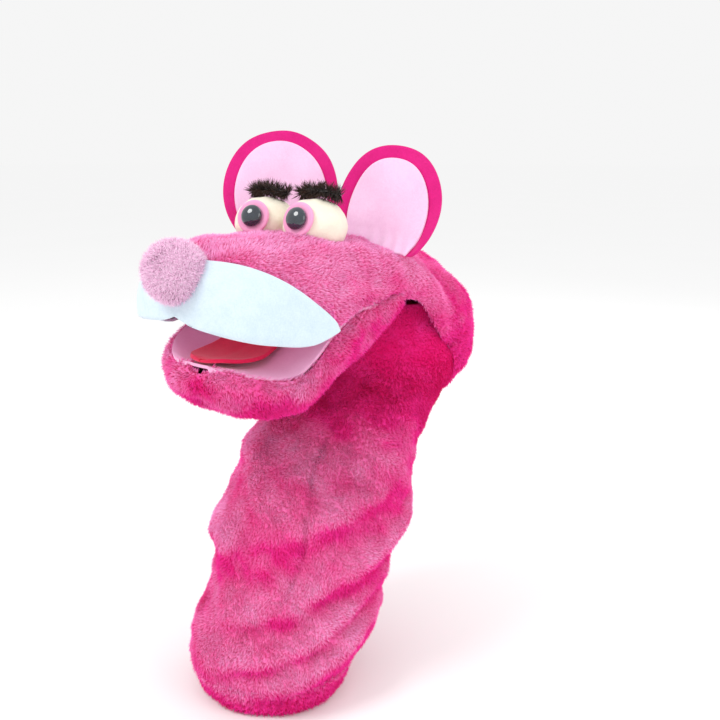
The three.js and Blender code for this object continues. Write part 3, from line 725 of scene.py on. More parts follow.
def head_point(share, y, offset=0.0):
    """The arch over the head at station y, from the left lip over the top to the right lip."""
    share, y = np.broadcast_arrays(np.asarray(share, float), np.asarray(y, float))
    full = fullness(y + min(offset, 0), cheek_y - tip_y + max(offset, 0))
    back = smooth((y - hinge[1]) / back_run)
    grow = offset * np.minimum(1, 2 * full)
    half = np.maximum((HEAD_HALF + (BACK_RADIUS - HEAD_HALF) * back) * full + grow, 0)
    lip = snout_z - (SNOUT_MID_RISE + lip_drop(y - hinge[1])) * full - wrist_drop * back
    # behind the mouth corner the edge arches up over the hollow under the head
    lip = lip + 11.0 * np.sin(math.pi * np.clip((y - hinge[1] - 13) / (back_run - 15), 0, 1)) ** 1.5
    rise = (crown_z - snout_z - crown_fall(y - hinge[1])) * full + grow
    angle, power = math.pi * share, 0.72 + 0.28 * back
    # the front corners of the lips are drawn up, the right one more
    lip = lip + np.where(share > 0.5, 7.5, 3.0) * np.abs(np.cos(angle)) ** 6 * smooth((-26 - y) / 24) * full
    side = np.sign(np.cos(angle)) * np.abs(np.cos(angle)) ** power
    return np.stack([half * side, y, lip + (snout_z + rise - lip) * np.sin(angle) ** power], -1)


def jaw_cup(side, y):
    """Rise of the jaw's floor and rim at a share of -1 to 1 across it."""
    y, side = np.asarray(y, float), np.asarray(side, float)
    right = smooth(0.5 - 2 * side)
    ahead = y + 34 + 26 * right
    high = CUP[0] + (CUP[1] - CUP[0]) * right
    return np.abs(side) ** 3 * smooth(ahead / 30) * (high - 5 * smooth((y - 2) / 25))


def jaw_point(share, y, offset=0.0):
    """The arch under the jaw at station y, from the left rim under the chin to the right rim."""
    share, y = np.broadcast_arrays(np.asarray(share, float), np.asarray(y, float))
    full = fullness(y + min(offset, 0), cheek_y - jaw_tip_y, 2.6)
    half = np.maximum(JAW_HALF * full + offset * np.minimum(1, 2 * full), 0)
    angle = math.pi * share
    side = np.sign(np.cos(angle)) * np.abs(np.cos(angle)) ** 0.72
    depth = (jaw_depth(y - hinge[1]) + offset) * full
    z = hinge[2] + floor_curve(y - hinge[1]) - 1.5 * (1 - full) - depth * np.sin(angle) ** 0.72
    z = z + jaw_cup(np.cos(angle), y)
    return np.stack([half * side, y, z], -1)


def stations(start, end, count):
    """Places from the tip backwards, closer together at the tip."""
    k = np.arange(count + 1) / count
    return start + (end - start) * (1 - np.cos(k * 1.45)) / (1 - math.cos(1.45))


def even_arch(arch, count):
    """An arch's points again, evenly spaced along it."""
    step = np.linalg.norm(np.diff(arch, axis=0), axis=1)
    at = np.concatenate([[0], np.cumsum(step)])
    want = np.linspace(0, at[-1], count)
    return np.stack([np.interp(want, at, arch[:, k]) for k in range(3)], 1)


# ---------------------------------------------------------------- sleeve, hem and neck
SLEEVE_BOTTOM, SLEEVE_TOP = 48.5, 51.5
# how far back the tube's middle lies, and its radius, from the rim up into the head
middle_y = through([(0, 0), (40, 0.28 * seam[1]), (80, 0.62 * seam[1]), (104, 0.88 * seam[1]),
                    (seam[2], 1.1 * seam[1]),
                    (134, 58), (148, 73), (162, 86), (wrist[2] + 6, wrist[1])])
tube_half = through([(0, SLEEVE_BOTTOM), (88, SLEEVE_TOP), (108, SLEEVE_TOP - 1), (124, 48), (140, 45.5),
                     (155, 43.5),
                     (178, 43)])
NECK_BALL = 45.5
RIM_TAPER = 9.5
WAIST = 4.0                       # the loose sleeve is narrower half way up its lower part
RIM_SHIFT = (0.0, -9.5)           # the standing sleeve leans out to its front at the rim


def rim_shift(z):
    return 1 - smooth((np.asarray(z, float) - 8) / 80)


def tube_radius(z, theta):
    """Distance from the tube's middle line to its cloth, at height z and angle theta."""
    z, theta = np.broadcast_arrays(z, theta)
    radius = tube_half(z) - RIM_TAPER * (1 - smooth(z / 34)) ** 1.6 - WAIST * np.exp(-((z - 56) / 15) ** 2)
    centre_y = middle_y(z)
    flat = np.sqrt(np.maximum(NECK_BALL**2 - (z - wrist[2]) ** 2, 0))
    # distance along theta to the ball's own circle at this height, from the tube's middle
    dy = wrist[1] - centre_y
    s, c = np.sin(theta), np.cos(theta)
    inside = np.maximum(flat**2 - (dy * c) ** 2, 0)
    to_ball = np.where(flat > 0, dy * s + np.sqrt(inside), 0)
    blend = 6.0
    return centre_y, blend * np.log(np.exp(np.clip(radius / blend, 0, 40))
                                    + np.exp(np.clip(to_ball / blend, 0, 40))) \
        - blend * math.log(2) * np.exp(-np.abs(radius - to_ball) / 12)


# Ridges of loose cloth: the height where each crosses theta 0, its slope, width, height and length round
# the sleeve.
# theta 0 points to the puppet's left, and theta -90 degrees to its front.
FOLDS = [
    # angle, height, slope (mm a radian), width, size, half length (radians)
    (-0.75, 20, 9, 7.5, 4.2, 1.0),
    (-0.55, 43, 15, 7.0, 4.6, 1.1),
    (-0.15, 33, 10, 5.0, 2.4, 0.6),
    (-0.55, 66, 16, 8.0, 4.4, 1.15),
    (0.25, 84, 12, 6.0, 2.8, 0.7),
    (-1.0, 96, 14, 9.0, 3.4, 1.0),
    (-2.35, 122, 3, 7.0, 5.0, 0.6),
    (-2.40, 79, 5, 11.0, 6.5, 0.65),
    (-2.30, 18, 3, 12.0, 3.6, 0.7),
    (1.3, 28, -10, 8.0, 3.8, 0.9),
    (1.6, 56, 12, 8.0, 4.2, 1.0),
    (1.5, 86, -9, 8.0, 3.8, 0.9),
    (2.7, 40, 11, 7.5, 3.8, 0.9),
    (2.9, 70, -10, 8.0, 4.0, 0.9),
    (2.8, 98, 9, 8.0, 3.2, 0.8),
]


def fold_height(theta, z):
    total = np.zeros(np.broadcast(theta, z).shape)
    for angle, height, slope, width, size, reach in FOLDS:
        turn = (theta - angle + math.pi) % (2 * math.pi) - math.pi
        away = z - height - slope * turn - 3.0 * np.sin(2.2 * turn + angle)
        # a soft upper side and a sharper lower side, as hanging cloth has
        shape = np.where(away > 0, np.exp(-(away / (1.35 * width)) ** 2),
                         np.exp(-(away / (0.75 * width)) ** 2))
        total = total + size * shape * np.exp(-((turn / reach) ** 4))
    return total


def tube_grid(heights, count):
    theta = np.linspace(-math.pi, math.pi, count, endpoint=False) + 0.0
    grid = np.zeros((len(heights), count, 3))
    for k, z in enumerate(heights):
        centre_y, r = tube_radius(np.full(count, float(z)), theta)
        calm = smooth((150 - z) / 26) * (0.35 + 0.65 * smooth(z / 10))
        p = np.stack([r * np.cos(theta), centre_y + r * np.sin(theta), np.full(count, float(z))], 1)
        wobble = 1.2 * ripple(p, 34, 11) + 0.5 * ripple(p, 15, 12)
        push = (fold_height(theta, z) - 2.6) * calm + wobble * (0.3 + 0.7 * calm)
        crease = 1.8 * np.exp(-(((theta + 1.05
                                  + 0.10 * math.sin(z / 17)) * r / 2.4) ** 2)) * smooth((z - 52) / 20) * calm
        r = r + push - crease
        grid[k] = np.stack([r * np.cos(theta) + RIM_SHIFT[0] * rim_shift(z),
                            centre_y + r * np.sin(theta) + RIM_SHIFT[1] * rim_shift(z),
                            np.full(count, float(z))], 1)
    return grid


def middle_line(c):
    """A point inside the puppet near c, for telling outside from inside."""
    return np.array([0, float(middle_y(c[2] / MM)) * MM, c[2]])


def sleeve_place(points):
    theta = np.arctan2(points[:, 1] - middle_y(points[:, 2]), points[:, 0])
    u = ((theta - 2.2) % (2 * math.pi)) / (2 * math.pi)
    return 0.02 + 0.95 * u, 0.02 + 0.95 * points[:, 2] / 215


def sleeve_nap_and_painted_light(points, normals):
    """Painted light: lighter on upward faces and on the ridges and their upper sides as painted highlight,
    and deeper below them as painted shade, over random nap patches.
    """
    shift = rim_shift(points[:, 2])
    x, y = points[:, 0] - RIM_SHIFT[0] * shift, points[:, 1] - RIM_SHIFT[1] * shift - middle_y(points[:, 2])
    ridge = fold_height(np.arctan2(y, x), points[:, 2]) - 2.4
    low = smooth((125 - points[:, 2]) / 30)
    tone = 0.26 + 0.70 * normals[:, 2] + 0.11 * ridge * low + 0.14 * ripple(points, 28, 21) \
        + 0.08 * ripple(points, 11, 22)
    # painted shade: in the hollow under the head the pile takes its deep tone
    return np.clip(tone - 1.15 * smooth((points[:, 2] - 122) / 34), -0.8, 1)


def make_sleeve():
    heights = np.concatenate([np.linspace(11, 120, 62), np.linspace(121.8, 200, 40)])
    grid = tube_grid(heights, 168)
    cloth = mesh_object("sleeve_cloth", grid.reshape(-1, 3), grid_faces(len(heights), 168, True),
                        [PLUSH_GROUND, BACKING])
    outward(cloth, middle_line)
    thicken(cloth, 2.4, levels=0)
    piles = cover_with_pile("sleeve_pile", cloth, lambda p: np.tile([0.15, 0.1, -1.0], (len(p), 1)),
                            sleeve_place,
                            sleeve_nap_and_painted_light, 31, axis=2, cuts=(40, 68, 98, 132),
                            length=lambda p: 1 - 0.5 * smooth((p[:, 2] - 150) / 25))
    for piece in (cloth, *piles):
        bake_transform(piece)
    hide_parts("sleeve", "neck")


def make_hem():
    """The turned-up band: outside, under the rim and up again inside, with a gathered edge's short ribs."""
    count = 300
    theta = np.linspace(-math.pi, math.pi, count, endpoint=False)
    outline = [(0.2, 15.0), (0.9, 11.0), (1.2, 6.5), (0.6, 2.6), (-1.0, 0.6), (-2.9, 0.1), (-4.6, 1.2),
               (-5.3, 4.5),
               (-5.0, 9.0), (-4.6, 14.0)]
    rows = []
    for out, z in outline:
        centre_y, r = tube_radius(np.full(count, max(z, 0.5)), theta)
        flat = np.stack([r * np.cos(theta), r * np.sin(theta), np.full(count, z)], 1)
        calm = 0.35 + 0.65 * smooth(z / 10)
        fold = (fold_height(theta, z) - 2.6) * calm
        ribs = 0.55 * np.sin(theta * 58 + 2.5 * np.sin(theta * 3)) * smooth((out + 3.2) / 3)
        r = r + fold + out + ribs + 1.2 * ripple(flat, 34, 11) * 0.8
        rows.append(np.stack([r * np.cos(theta) + RIM_SHIFT[0] * rim_shift(z),
                              centre_y + r * np.sin(theta) + RIM_SHIFT[1] * rim_shift(z), np.full(count, z)],
                              1))
    band = mesh_object("hem_band", np.array(rows).reshape(-1, 3), grid_faces(len(rows), count, True),
                       [PLUSH_GROUND])
    band.data.flip_normals()
    s = band.modifiers.new("wall", "SOLIDIFY")
    s.thickness, s.offset = 1.6 * MM, -1
    applied(band)
    piles = cover_with_pile("hem_pile", band, lambda p: np.tile([0.1, 0.1, -1.0], (len(p), 1)), sleeve_place,
                            sleeve_nap_and_painted_light, 32, density=PLUSH_DENSITY * 0.7, tilt=0.7)
    for piece in (band, *piles):
        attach(piece, "sleeve")
    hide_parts("sleeve_hem")


def turned_in(points, normals, rim, amount, reach):
    """Points near a rim, moved inwards so the cloth's edge rolls under."""
    near = np.full(len(points), 1e9)
    for start in range(0, len(rim), 64):
        gap = np.linalg.norm(points[:, None] - rim[None, start:start + 64], axis=2)
        near = np.minimum(near, gap.min(axis=1))
    return points - normals * (amount * np.clip(1 - near / reach, 0, 1) ** 2)[:, None]


# ---------------------------------------------------------------- upper head
REAR_FAN = math.radians(149)


def patch_edge(share):
    """How far back the muzzle's felt reaches at each share of the arch."""
    return tip_y + 7 + 43 * np.abs(2 * share - 1) ** 2.1


def share_of(points):
    """The share of the arch that each point lies at."""
    half = HEAD_HALF * np.maximum(fullness(points[:, 1], cheek_y - tip_y), 1e-3)
    angle = np.arccos(np.clip(np.abs(points[:, 0]) / half, 0, 1) ** (1 / 0.72))
    return np.where(points[:, 0] > 0, angle, math.pi - angle) / math.pi


def head_grid(columns=97, ahead=46, over=34):
    rows = []
    fine = np.linspace(0, 1, 400)
    for y in stations(tip_y + 0.15, wrist[1], ahead):
        rows.append(even_arch(head_point(fine, y), columns))
    for phi in np.linspace(0, REAR_FAN, over + 1)[1:]:
        theta = math.pi * fine
        r = BACK_RADIUS
        rows.append(even_arch(np.stack([r * np.cos(theta), wrist[1] + r * np.sin(theta) * math.sin(phi),
                                        wrist[2] + r * np.sin(theta) * math.cos(phi)], 1), columns))
    return np.array(rows)


def head_line(c):
    y, z = c[1] / MM, c[2] / MM
    if y < wrist[1]:
        return np.array([0, c[1], (hinge[2] + 6) * MM if y < 40 else (wrist[2] + 15) * MM])
    return np.array([0, wrist[1], wrist[2]]) * MM


def head_place(points):
    """Round the head by angle about a line from the nose to the wrist, and along it."""
    run = np.clip((wrist[1] - points[:, 1]) / (wrist[1] - tip_y), -0.5, 1)
    axis_z = wrist[2] + (snout_z + 4 - wrist[2]) * np.clip(run * 1.4, 0, 1)
    theta = np.arctan2(points[:, 2] - axis_z, points[:, 0])
    u = ((theta + math.pi / 2) % (2 * math.pi)) / (2 * math.pi)
    return 0.02 + 0.95 * u, 0.02 + 0.93 * (points[:, 1] - tip_y) / 215


def head_nap_and_painted_light(points, normals):
    # painted light: upward faces are lighter; the tone is also lighter towards the snout and darker towards
    # the back, over random nap patches
    up = normals[:, 2]
    top = 0.55 + 0.28 * up + 0.10 * ripple(points, 22, 23) + 0.06 * ripple(points, 9, 24)
    front = smooth((30 - points[:, 1]) / 60)
    return np.clip(top + 0.10 * front - 0.55 * smooth((points[:, 1] - 55) / 45), -0.4, 1)


def make_head():
    grid = head_grid()
    # below the wrist the hood draws in to the neck
    middle = np.array([0, wrist[1], wrist[2]])
    behind = smooth((grid[..., 1] - wrist[1] + 30) / 30) * smooth((wrist[2] + 14 - grid[..., 2]) / 44)
    grid = middle + (grid - middle) * (1 - 0.088 * behind)[..., None]
    n = grid_normals(grid, False)
    flat = grid.reshape(-1, 3)
    wave = 0.9 * ripple(flat, 30, 41) + 0.35 * ripple(flat, 12, 42)
    # small gathers that run out from the corner of the mouth over the cheek
    from_corner = np.stack([flat[:, 1] - hinge[1], flat[:, 2] - hinge[2]], 1)
    far = np.hypot(*from_corner.T)
    bearing = np.arctan2(from_corner[:, 1], from_corner[:, 0])
    gathers = 1.3 * np.sin(bearing * 6.5
                           + 0.6) * np.exp(-((far - 22) / 18) ** 2) * smooth((np.abs(flat[:, 0]) - 30) / 15)
    outside = n.reshape(-1, 3) * (1 if n[len(n) // 3, n.shape[1] // 2, 2] > 0 else -1)
    covered = flat[:, 1] < patch_edge(share_of(flat)) + 3
    moved = flat + outside * ((wave + gathers) * np.where(covered, 0.15, 1))[:, None]
    front = grid[:, 0, 1] < hinge[1] + 2
    for rows, amount, reach in ((front, 2.4, 6.0), (~front, 4.6, 11.0)):
        for side in (0, -1):
            moved = turned_in(moved, outside, grid[rows, side], amount, reach)
    moved = turned_in(moved, outside, grid[-1], 3.4, 15.0)
    cloth = mesh_object("head_cloth", moved, grid_faces(grid.shape[0], grid.shape[1]),
                        [PLUSH_GROUND, BACKING])
    centre = moved[[f.vertices[0] for f in cloth.data.polygons]]
    under = centre[:, 1] < patch_edge(share_of(centre)) - 1.5
    cloth.data.polygons.foreach_set("material_index", under.astype(np.int32))
    weld(cloth, 0.05)
    outward(cloth, head_line)
    thicken(cloth, 2.2)
    nap = lambda p: np.stack([0.25 * np.sign(p[:, 0]), np.ones(len(p)),
                              -0.35 - 1.2 * smooth((p[:, 1] - 70) / 50)], 1)
    piles = cover_with_pile("head_pile", cloth, nap, head_place, head_nap_and_painted_light, 33, cuts=(25, 80))
    for piece in (cloth, *piles):
        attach(piece, "head")
    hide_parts("head_upper")


# ---------------------------------------------------------------- lower jaw
def make_jaw():
    fine = np.linspace(0, 1, 400)
    rear = hinge[1] + 9
    rows = [even_arch(jaw_point(fine, y), 85) for y in stations(jaw_tip_y + 0.15, rear, 42)]
    # the rear closes round, towards the middle of the roll
    last = rows[-1]
    heart = last * [0.84, 1, 0] + [0, 0, last[0, 2] - 5]
    for k in np.linspace(0, 1, 9)[1:]:
        rows.append(heart + (last - heart) * math.cos(k * 1.45) + np.array([0, 8.0 * math.sin(k * 1.45), 0]))
    grid = np.array(rows)
    n = grid_normals(grid, False)
    outside = n.reshape(-1, 3) * (1 if n[20, 42, 2] < 0 else -1)
    flat = grid.reshape(-1, 3)
    moved = flat + outside * (0.9 * ripple(flat, 26, 43) + 0.35 * ripple(flat, 11, 44))[:, None]
    for side in (0, -1):
        moved = turned_in(moved, outside, grid[:-6, side], 3.6, 8.0)
    # the jaw stays off the neck's ball
    ball = np.array([0, wrist[1], wrist[2]])
    away = moved - ball
    d = np.linalg.norm(away, axis=1)
    near = d < NECK_BALL + 4.5
    moved[near] = ball + away[near] / d[near, None] * (NECK_BALL + 4.5)
    cloth = mesh_object("jaw_cloth", moved, grid_faces(grid.shape[0], grid.shape[1]), [PLUSH_GROUND, BACKING])
    weld(cloth, 0.05)
    outward(cloth, lambda c: np.array([0, min(c[1], 0.010), 0.190]))
    thicken(cloth, 2.8)
    nap = lambda p: np.stack([0.4 * np.sign(p[:, 0]), np.full(len(p), 0.6), np.full(len(p), -0.8)], 1)

    def brushed(points, normals):
        # painted light: faces turned up and to the front are lighter, over random nap patches
        return np.clip(0.26 + 0.40 * normals[:, 2] - 0.18 * normals[:, 1] + 0.16 * ripple(points, 20, 25)
                       + 0.08 * ripple(points, 9, 26), -0.6, 1)

    piles = cover_with_pile("jaw_pile", cloth, nap,
                            lambda p: (0.5 + p[:, 0] / 120, 0.05 + (p[:, 1] + 62) / 125), brushed,
                            34, tilt=0.7, longest=1.3)
    for piece in (cloth, *piles):
        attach(piece, "jaw")
    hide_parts("jaw_lower")


# ---------------------------------------------------------------- felt sheets
def felt_sheet(name, grid, materials, thick):
    """A sheet of felt from a grid of its upper side, with a cut edge."""
    sheet = mesh_object(name, grid.reshape(-1, 3), grid_faces(grid.shape[0], grid.shape[1]), materials)
    weld(sheet, 0.02)
    s = sheet.modifiers.new("wall", "SOLIDIFY")
    s.thickness, s.offset = thick * MM, -1
    b = sheet.modifiers.new("edge", "BEVEL")
    b.width, b.segments, b.limit_method, b.angle_limit = 0.28 * thick * MM, 2, "ANGLE", math.radians(50)
    return applied(sheet)


def make_muzzle():
    columns, rows = 90, 26
    share = np.linspace(0.0, 1.0, columns)
    grid = np.zeros((rows, columns + 6, 3))
    for r in range(rows):
        reach = (r / (rows - 1)) ** 2.0
        off = 2.1 - 0.4 * (r / (rows - 1)) ** 6
        arch = head_point(share, tip_y - off + (patch_edge(share) - tip_y + off) * reach, off)
        # the edges turn under both lips
        under = np.array([(0.7, 0, 0.5), (2.2, 0, 0.9), (4.4, 0, 0.5)]) * min(1.0, arch[0, 0] / 14)
        left = arch[0] - under[::-1]
        right = arch[-1] - under * [-1, 1, 1]
        grid[r] = np.concatenate([left, arch, right])
    patch = felt_sheet("muzzle_felt_patch", grid, [MUZZLE_FELT], 1.4)
    outward(patch, head_line)
    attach(patch, "head")
    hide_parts("muzzle_patch")


def mouth_sheet(z_of, half_of, rear, front):
    """Lining of one side of the mouth, from its rear to its rounded front."""
    rows = []
    for y in rear + (front - rear) * np.sin(np.linspace(0, 1, 34) * math.pi / 2):
        side = np.linspace(-1, 1, 49)
        rows.append(np.stack([float(half_of(y)) * side, np.full(49, y), z_of(side, y)], 1))
    return np.array(rows)


def make_linings():
    palate_top = box_mm("palate_lining")[1][2]
    head_full = lambda y: float(fullness(y, cheek_y - tip_y))
    jaw_full = lambda y: float(fullness(y, cheek_y - jaw_tip_y, 2.6))
    grid = mouth_sheet(lambda side, y: palate_top - 2.0 * np.abs(side) ** 6,
                       lambda y: max(HEAD_HALF * head_full(y - 3.6) - 3.6, 1.2), hinge[1] - 2, tip_y + 5.0)
    palate = felt_sheet("palate_felt", grid, [LINING_FELT], 1.4)
    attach(palate, "head")
    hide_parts("palate_lining")
    grid = mouth_sheet(lambda side, y: floor_height(y) + jaw_cup(side, y) + 1.2 - 1.8 * np.abs(side) ** 8,
                       lambda y: max(JAW_HALF * jaw_full(y - 2.6) - 3.6, 1.2), hinge[1] - 3, jaw_tip_y + 3.2)
    floor = felt_sheet("floor_felt", grid, [LINING_FELT], 1.4)
    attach(floor, "jaw")
    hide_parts("floor_lining")


def floor_height(y):
    """Top of the mouth's floor along its middle, a little lower at the very front."""
    return hinge[2] + floor_curve(y - hinge[1]) - 1.2 * smooth((jaw_tip_y + 9 - y) / 5)


def make_tongue():
    root = hinge[1] - 22
    length, width = 60.5, 39.0
    rows = []
    for k in np.sin(np.linspace(0, 1, 30) * math.pi / 2):
        y = root - length * k
        tip = math.sqrt(max(1 - max((k - 0.62) / 0.38, 0) ** 2, 0))
        half = max(width / 2 * (0.74 + 0.26 * min(k / 0.6, 1)) * tip, 0.5)
        x = np.linspace(-1, 1, 21)
        z = floor_height(y) + 3.8 + 3.0 * smooth(k) * (1 - k) * 2 - 1.0 * np.exp(-(x / 0.16) ** 2) * (1 - k) \
            + 0.9 * np.abs(x) ** 3
        rows.append(np.stack([half * x, np.full(21, y), z], 1))
    grid = np.array(rows)
    tongue = felt_sheet("tongue_felt_strip", grid, [TONGUE_FELT], 1.8)
    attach(tongue, "tongue")
    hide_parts("tongue")


# ---------------------------------------------------------------- ears
EAR_BASE, EAR_BORDER = 38.0, 6.5
# foot, turn, lean, roll, width and height of each; the right one stands taller and more to the front
EARS = {
    "left": ((33, 47, 235.5), 20, -4, -10, 55.0, 53.0),
    "right": ((-34, 45, 234), 39, -15, 6, 66.0, 65.0),
}


def ear_outline(width, height, inset, count=120):
    half, base, top = width / 2 - inset, EAR_BASE / 2 - inset * 0.6, height - inset
    t = np.linspace(0, 1, count // 2)[:, None]
    a, b, c, d = (np.array(p, float) for p in ((-base, 0), (-half * 1.22, top * 0.14),
                                               (-half * 1.14, top * 1.0), (0, top)))
    left = (1 - t) ** 3 * a + 3 * (1 - t) ** 2 * t * b + 3 * (1 - t) * t**2 * c + t**3 * d
    right = left[::-1] * [-1, 1]
    return np.concatenate([left, right[1:]])


def ear_sheet(name, side, inset, ahead, thick, material):
    foot, yaw, lean, roll, width, height = EARS[side]
    outline = even_arch(np.pad(ear_outline(width, height, inset), ((0, 0), (0, 1))), 90)[:, :2]
    middle = np.array([0, height * 0.42])
    base = np.stack([np.linspace(outline[-1, 0], outline[0, 0], 30)[1:-1], np.zeros(28)], 1)
    loop = np.concatenate([outline, base])
    rings = [middle + (loop - middle) * s for s in np.linspace(0.04, 1, 16)]
    flat = np.array(rings)
    x, y = flat[..., 0], flat[..., 1]
    low = np.clip(1 - y / height, 0, 1)
    bend = 0.004 + 0.030 * low**2.4
    across, forward = np.sin(bend * x) / bend, (1 - np.cos(bend * x)) / bend
    sway = 1.1 * ripple(np.stack([x.ravel(), y.ravel(), np.full(x.size, 7.0 if side == "left" else 31.0)], 1),
                        34, 51) \
        .reshape(x.shape)
    curl = 2.2 * smooth((y - 30) / 30) ** 2
    # the sewn foot turns forwards onto the crown in small gathers
    flare = 0.045 * np.clip(10 - y, 0, 10) ** 2 + 0.8 * np.sin(x * 0.9) * smooth((12 - y) / 12)
    local = np.stack([across, y - 3.0, forward + ahead + sway - curl + flare], -1)
    turn = Matrix.Rotation(math.radians(yaw), 3, "Z") @ Matrix.Rotation(math.radians(90 + lean), 3, "X") \
        @ Matrix.Rotation(math.radians(roll), 3, "Z")
    place = local.reshape(-1, 3) @ np.array(turn).T + np.array(foot)
    count = flat.shape[1]
    faces = grid_faces(flat.shape[0], count, True)
    faces.append(tuple(range(count))[::-1])
    sheet = mesh_object(name, place, faces, [material])
    front = np.array(turn) @ np.array([0, 0, 1])
    if sum(float(np.array(f.normal) @ front) * f.area for f in sheet.data.polygons) < 0:
        sheet.data.flip_normals()
    s = sheet.modifiers.new("wall", "SOLIDIFY")
    s.thickness, s.offset = thick * MM, -1
    b = sheet.modifiers.new("edge", "BEVEL")
    b.width, b.segments, b.limit_method, b.angle_limit = 0.28 * thick * MM, 2, "ANGLE", math.radians(50)
    return applied(sheet)


def make_ears():
    for side in ("left", "right"):
        back = ear_sheet(f"ear_back_felt_{side}", side, 0, 1.5, 1.5, MAGENTA_FELT)
        front = ear_sheet(f"ear_front_felt_{side}", side, EAR_BORDER, 3.2, 1.5, PALE_FELT)
        for piece, slot, node in ((back, "magenta_felt", f"ear_back_{side}"),
                                  (front, "pale_felt", f"ear_front_{side}")):
            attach(piece, f"ear_{side}")
            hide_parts(node)


# ---------------------------------------------------------------- nose
def ball_mesh(name, radius, centre, materials, segments=48, rings=32):
    points, faces = [], []
    for r in range(rings + 1):
        polar = math.pi * r / rings
        for s in range(segments):
            turn = 2 * math.pi * s / segments
            points.append((radius * math.sin(polar) * math.cos(turn) + centre[0],
                           radius * math.sin(polar) * math.sin(turn) + centre[1],
                           radius * math.cos(polar) + centre[2]))
    ball = mesh_object(name, points, grid_faces(rings + 1, segments, True), materials)
    weld(ball, 0.01)
    middle = np.array(centre) * MM
    return outward(ball, lambda c: middle)


def make_nose():
    low, high = box_mm("nose_pompom")
    centre = (0.0, tip_y - 1.5, (low[2] + high[2]) / 2)
    radius = 0.84 * (high[0] - low[0]) / 2
    core = ball_mesh("pompom_core", radius * 0.78, centre, [POMPOM_FIBRE], 40, 26)
    points, normals = vertices_of(core), normals_of(core)
    put(core, "long", np.ones(len(points)))
    put(core, "lay", unit(normals + 0.16 * np.stack([ripple(points, 6, 61 + k) for k in range(3)], 1)))
    theta = np.arctan2(points[:, 1] - centre[1], points[:, 0])
    put(core, "root_place", np.stack([0.02 + 0.94 * (theta % (2 * math.pi)) / (2 * math.pi),
                                      0.02 + 0.94 * (points[:, 2] - low[2]) / (high[2] - low[2]), 0 * theta],
                                      1))
    tuft = tuft_shape("pompom_tuft", 5, radius * 0.30, 0.46, 0.35, 0.55, 0.45, 8)
    fluff = lay_fibres("pompom_fluff", core, OVER_SURFACE, Tuft=tuft, Finish=POMPOM_FIBRE, Furry=POMPOM_FIBRE,
                       Density=4.6e6, Smallest=0.80, Largest=1.0, Cell=0.01,
                       Seed=7)
    for a in ("lay", "long", "root_place"):
        core.data.attributes.remove(core.data.attributes[a])
    for piece in (core, fluff):
        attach(piece, "head")
    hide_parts("nose_pompom")


# ---------------------------------------------------------------- eyes
PAD_SIZE = np.array([16.4, 16.0, 14.0])
LOOK = {"left": (0.12, -0.94, 0.3), "right": (0.3, -0.9, 0.3)}
pad_y, pad_z = hinge[1] - 18, crown_z + 3
PAD_SPACING = 16.9


def look_frame(side, sign):
    look = unit(np.array(LOOK[side]))
    centre = np.array([sign * PAD_SPACING, pad_y, pad_z])
    seat = 1 / np.linalg.norm(look / PAD_SIZE) - 1.6
    turn = np.array(Vector((0, 1, 0)).rotation_difference(Vector(look)).to_matrix())
    return centre, look, seat, turn


def lathe(name, outline, turn, origin, material, steps=48):
    """A round piece about its own Y axis, from (radius, height) points."""
    angle = np.linspace(0, 2 * math.pi, steps, endpoint=False)
    rows = [np.stack([r * np.cos(angle), np.full(steps, h), r * np.sin(angle)], 1) for r, h in outline]
    points = np.array(rows).reshape(-1, 3) @ turn.T + origin
    piece = mesh_object(name, points, grid_faces(len(rows), steps, True), [material])
    weld(piece, 0.005)
    middle = (origin + turn @ np.array([0, np.mean([h for _, h in outline]), 0])) * MM
    return outward(piece, lambda c: middle)


def make_eyes():
    for side, sign in (("left", 1), ("right", -1)):
        centre, look, seat, turn = look_frame(side, sign)
        pad = ball_mesh(f"eye_pad_cloth_{side}", 1, (0, 0, 0), [EYE_CLOTH], 56, 40)
        p = vertices_of(pad)
        p = p * PAD_SIZE
        ahead = p @ look
        over = np.maximum(ahead - seat, 0)
        p = p - look * (over * 0.96)[:, None]
        p = p + unit(p) * (0.25 * ripple(p, 8, 71))[:, None] + centre
        pad.data.vertices.foreach_set("co", (p * MM).astype(np.float32).ravel())
        pad.data.update()
        filling = ball_mesh(f"eye_wadding_{side}", 1, (0, 0, 0), [WADDING], 32, 20)
        q = vertices_of(filling) * (PAD_SIZE - 2.6)
        q = q - look * np.maximum(q @ look - seat + 2.4, 0)[:, None] + centre
        filling.data.vertices.foreach_set("co", (q * MM).astype(np.float32).ravel())
        filling.data.update()
        origin = centre + look * seat
        disc = lathe(f"eye_ring_{side}", [(1.6, 0.3), (8.3, 0.3), (8.6, 0.7), (8.6, 1.4), (8.2, 1.85),
                                          (7.6, 1.95),
                                          (1.6, 1.95), (1.6, 0.3)], turn, origin, DISC_FELT)
        dome = [(5.6 * math.cos(a), 2.7 + 0.5 + 2.9 * math.sin(a)) for a in np.linspace(0, math.pi / 2, 14)]
        button = lathe(f"eye_dome_{side}", [(0, -7.5), (1.2, -7.5), (1.2, 2.2), (5.1, 2.3), (5.5, 2.7)]
                       + dome[:-1]
                       + [(0, dome[-1][1])], turn, origin, BUTTON)
        for piece, slot, node in ((pad, "eye_cloth", f"eye_pad_{side}"),
                                  (filling, "wadding", f"eye_filling_{side}"),
                                  (disc, "disc_felt", f"eye_disc_{side}"),
                                  (button, "button", f"eye_button_{side}")):
            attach(piece, "head")
            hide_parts(node)


# ---------------------------------------------------------------- brows
def spline(points, count):
    """Points evenly along a smooth line through the given ones."""
    points = np.array(points, float)
    at = np.concatenate([[0], np.cumsum(np.linalg.norm(np.diff(points, axis=0), axis=1))])
    want = np.linspace(0, at[-1], count)
    return np.stack([through(list(zip(at, points[:, k])))(want) for k in range(3)], 1)


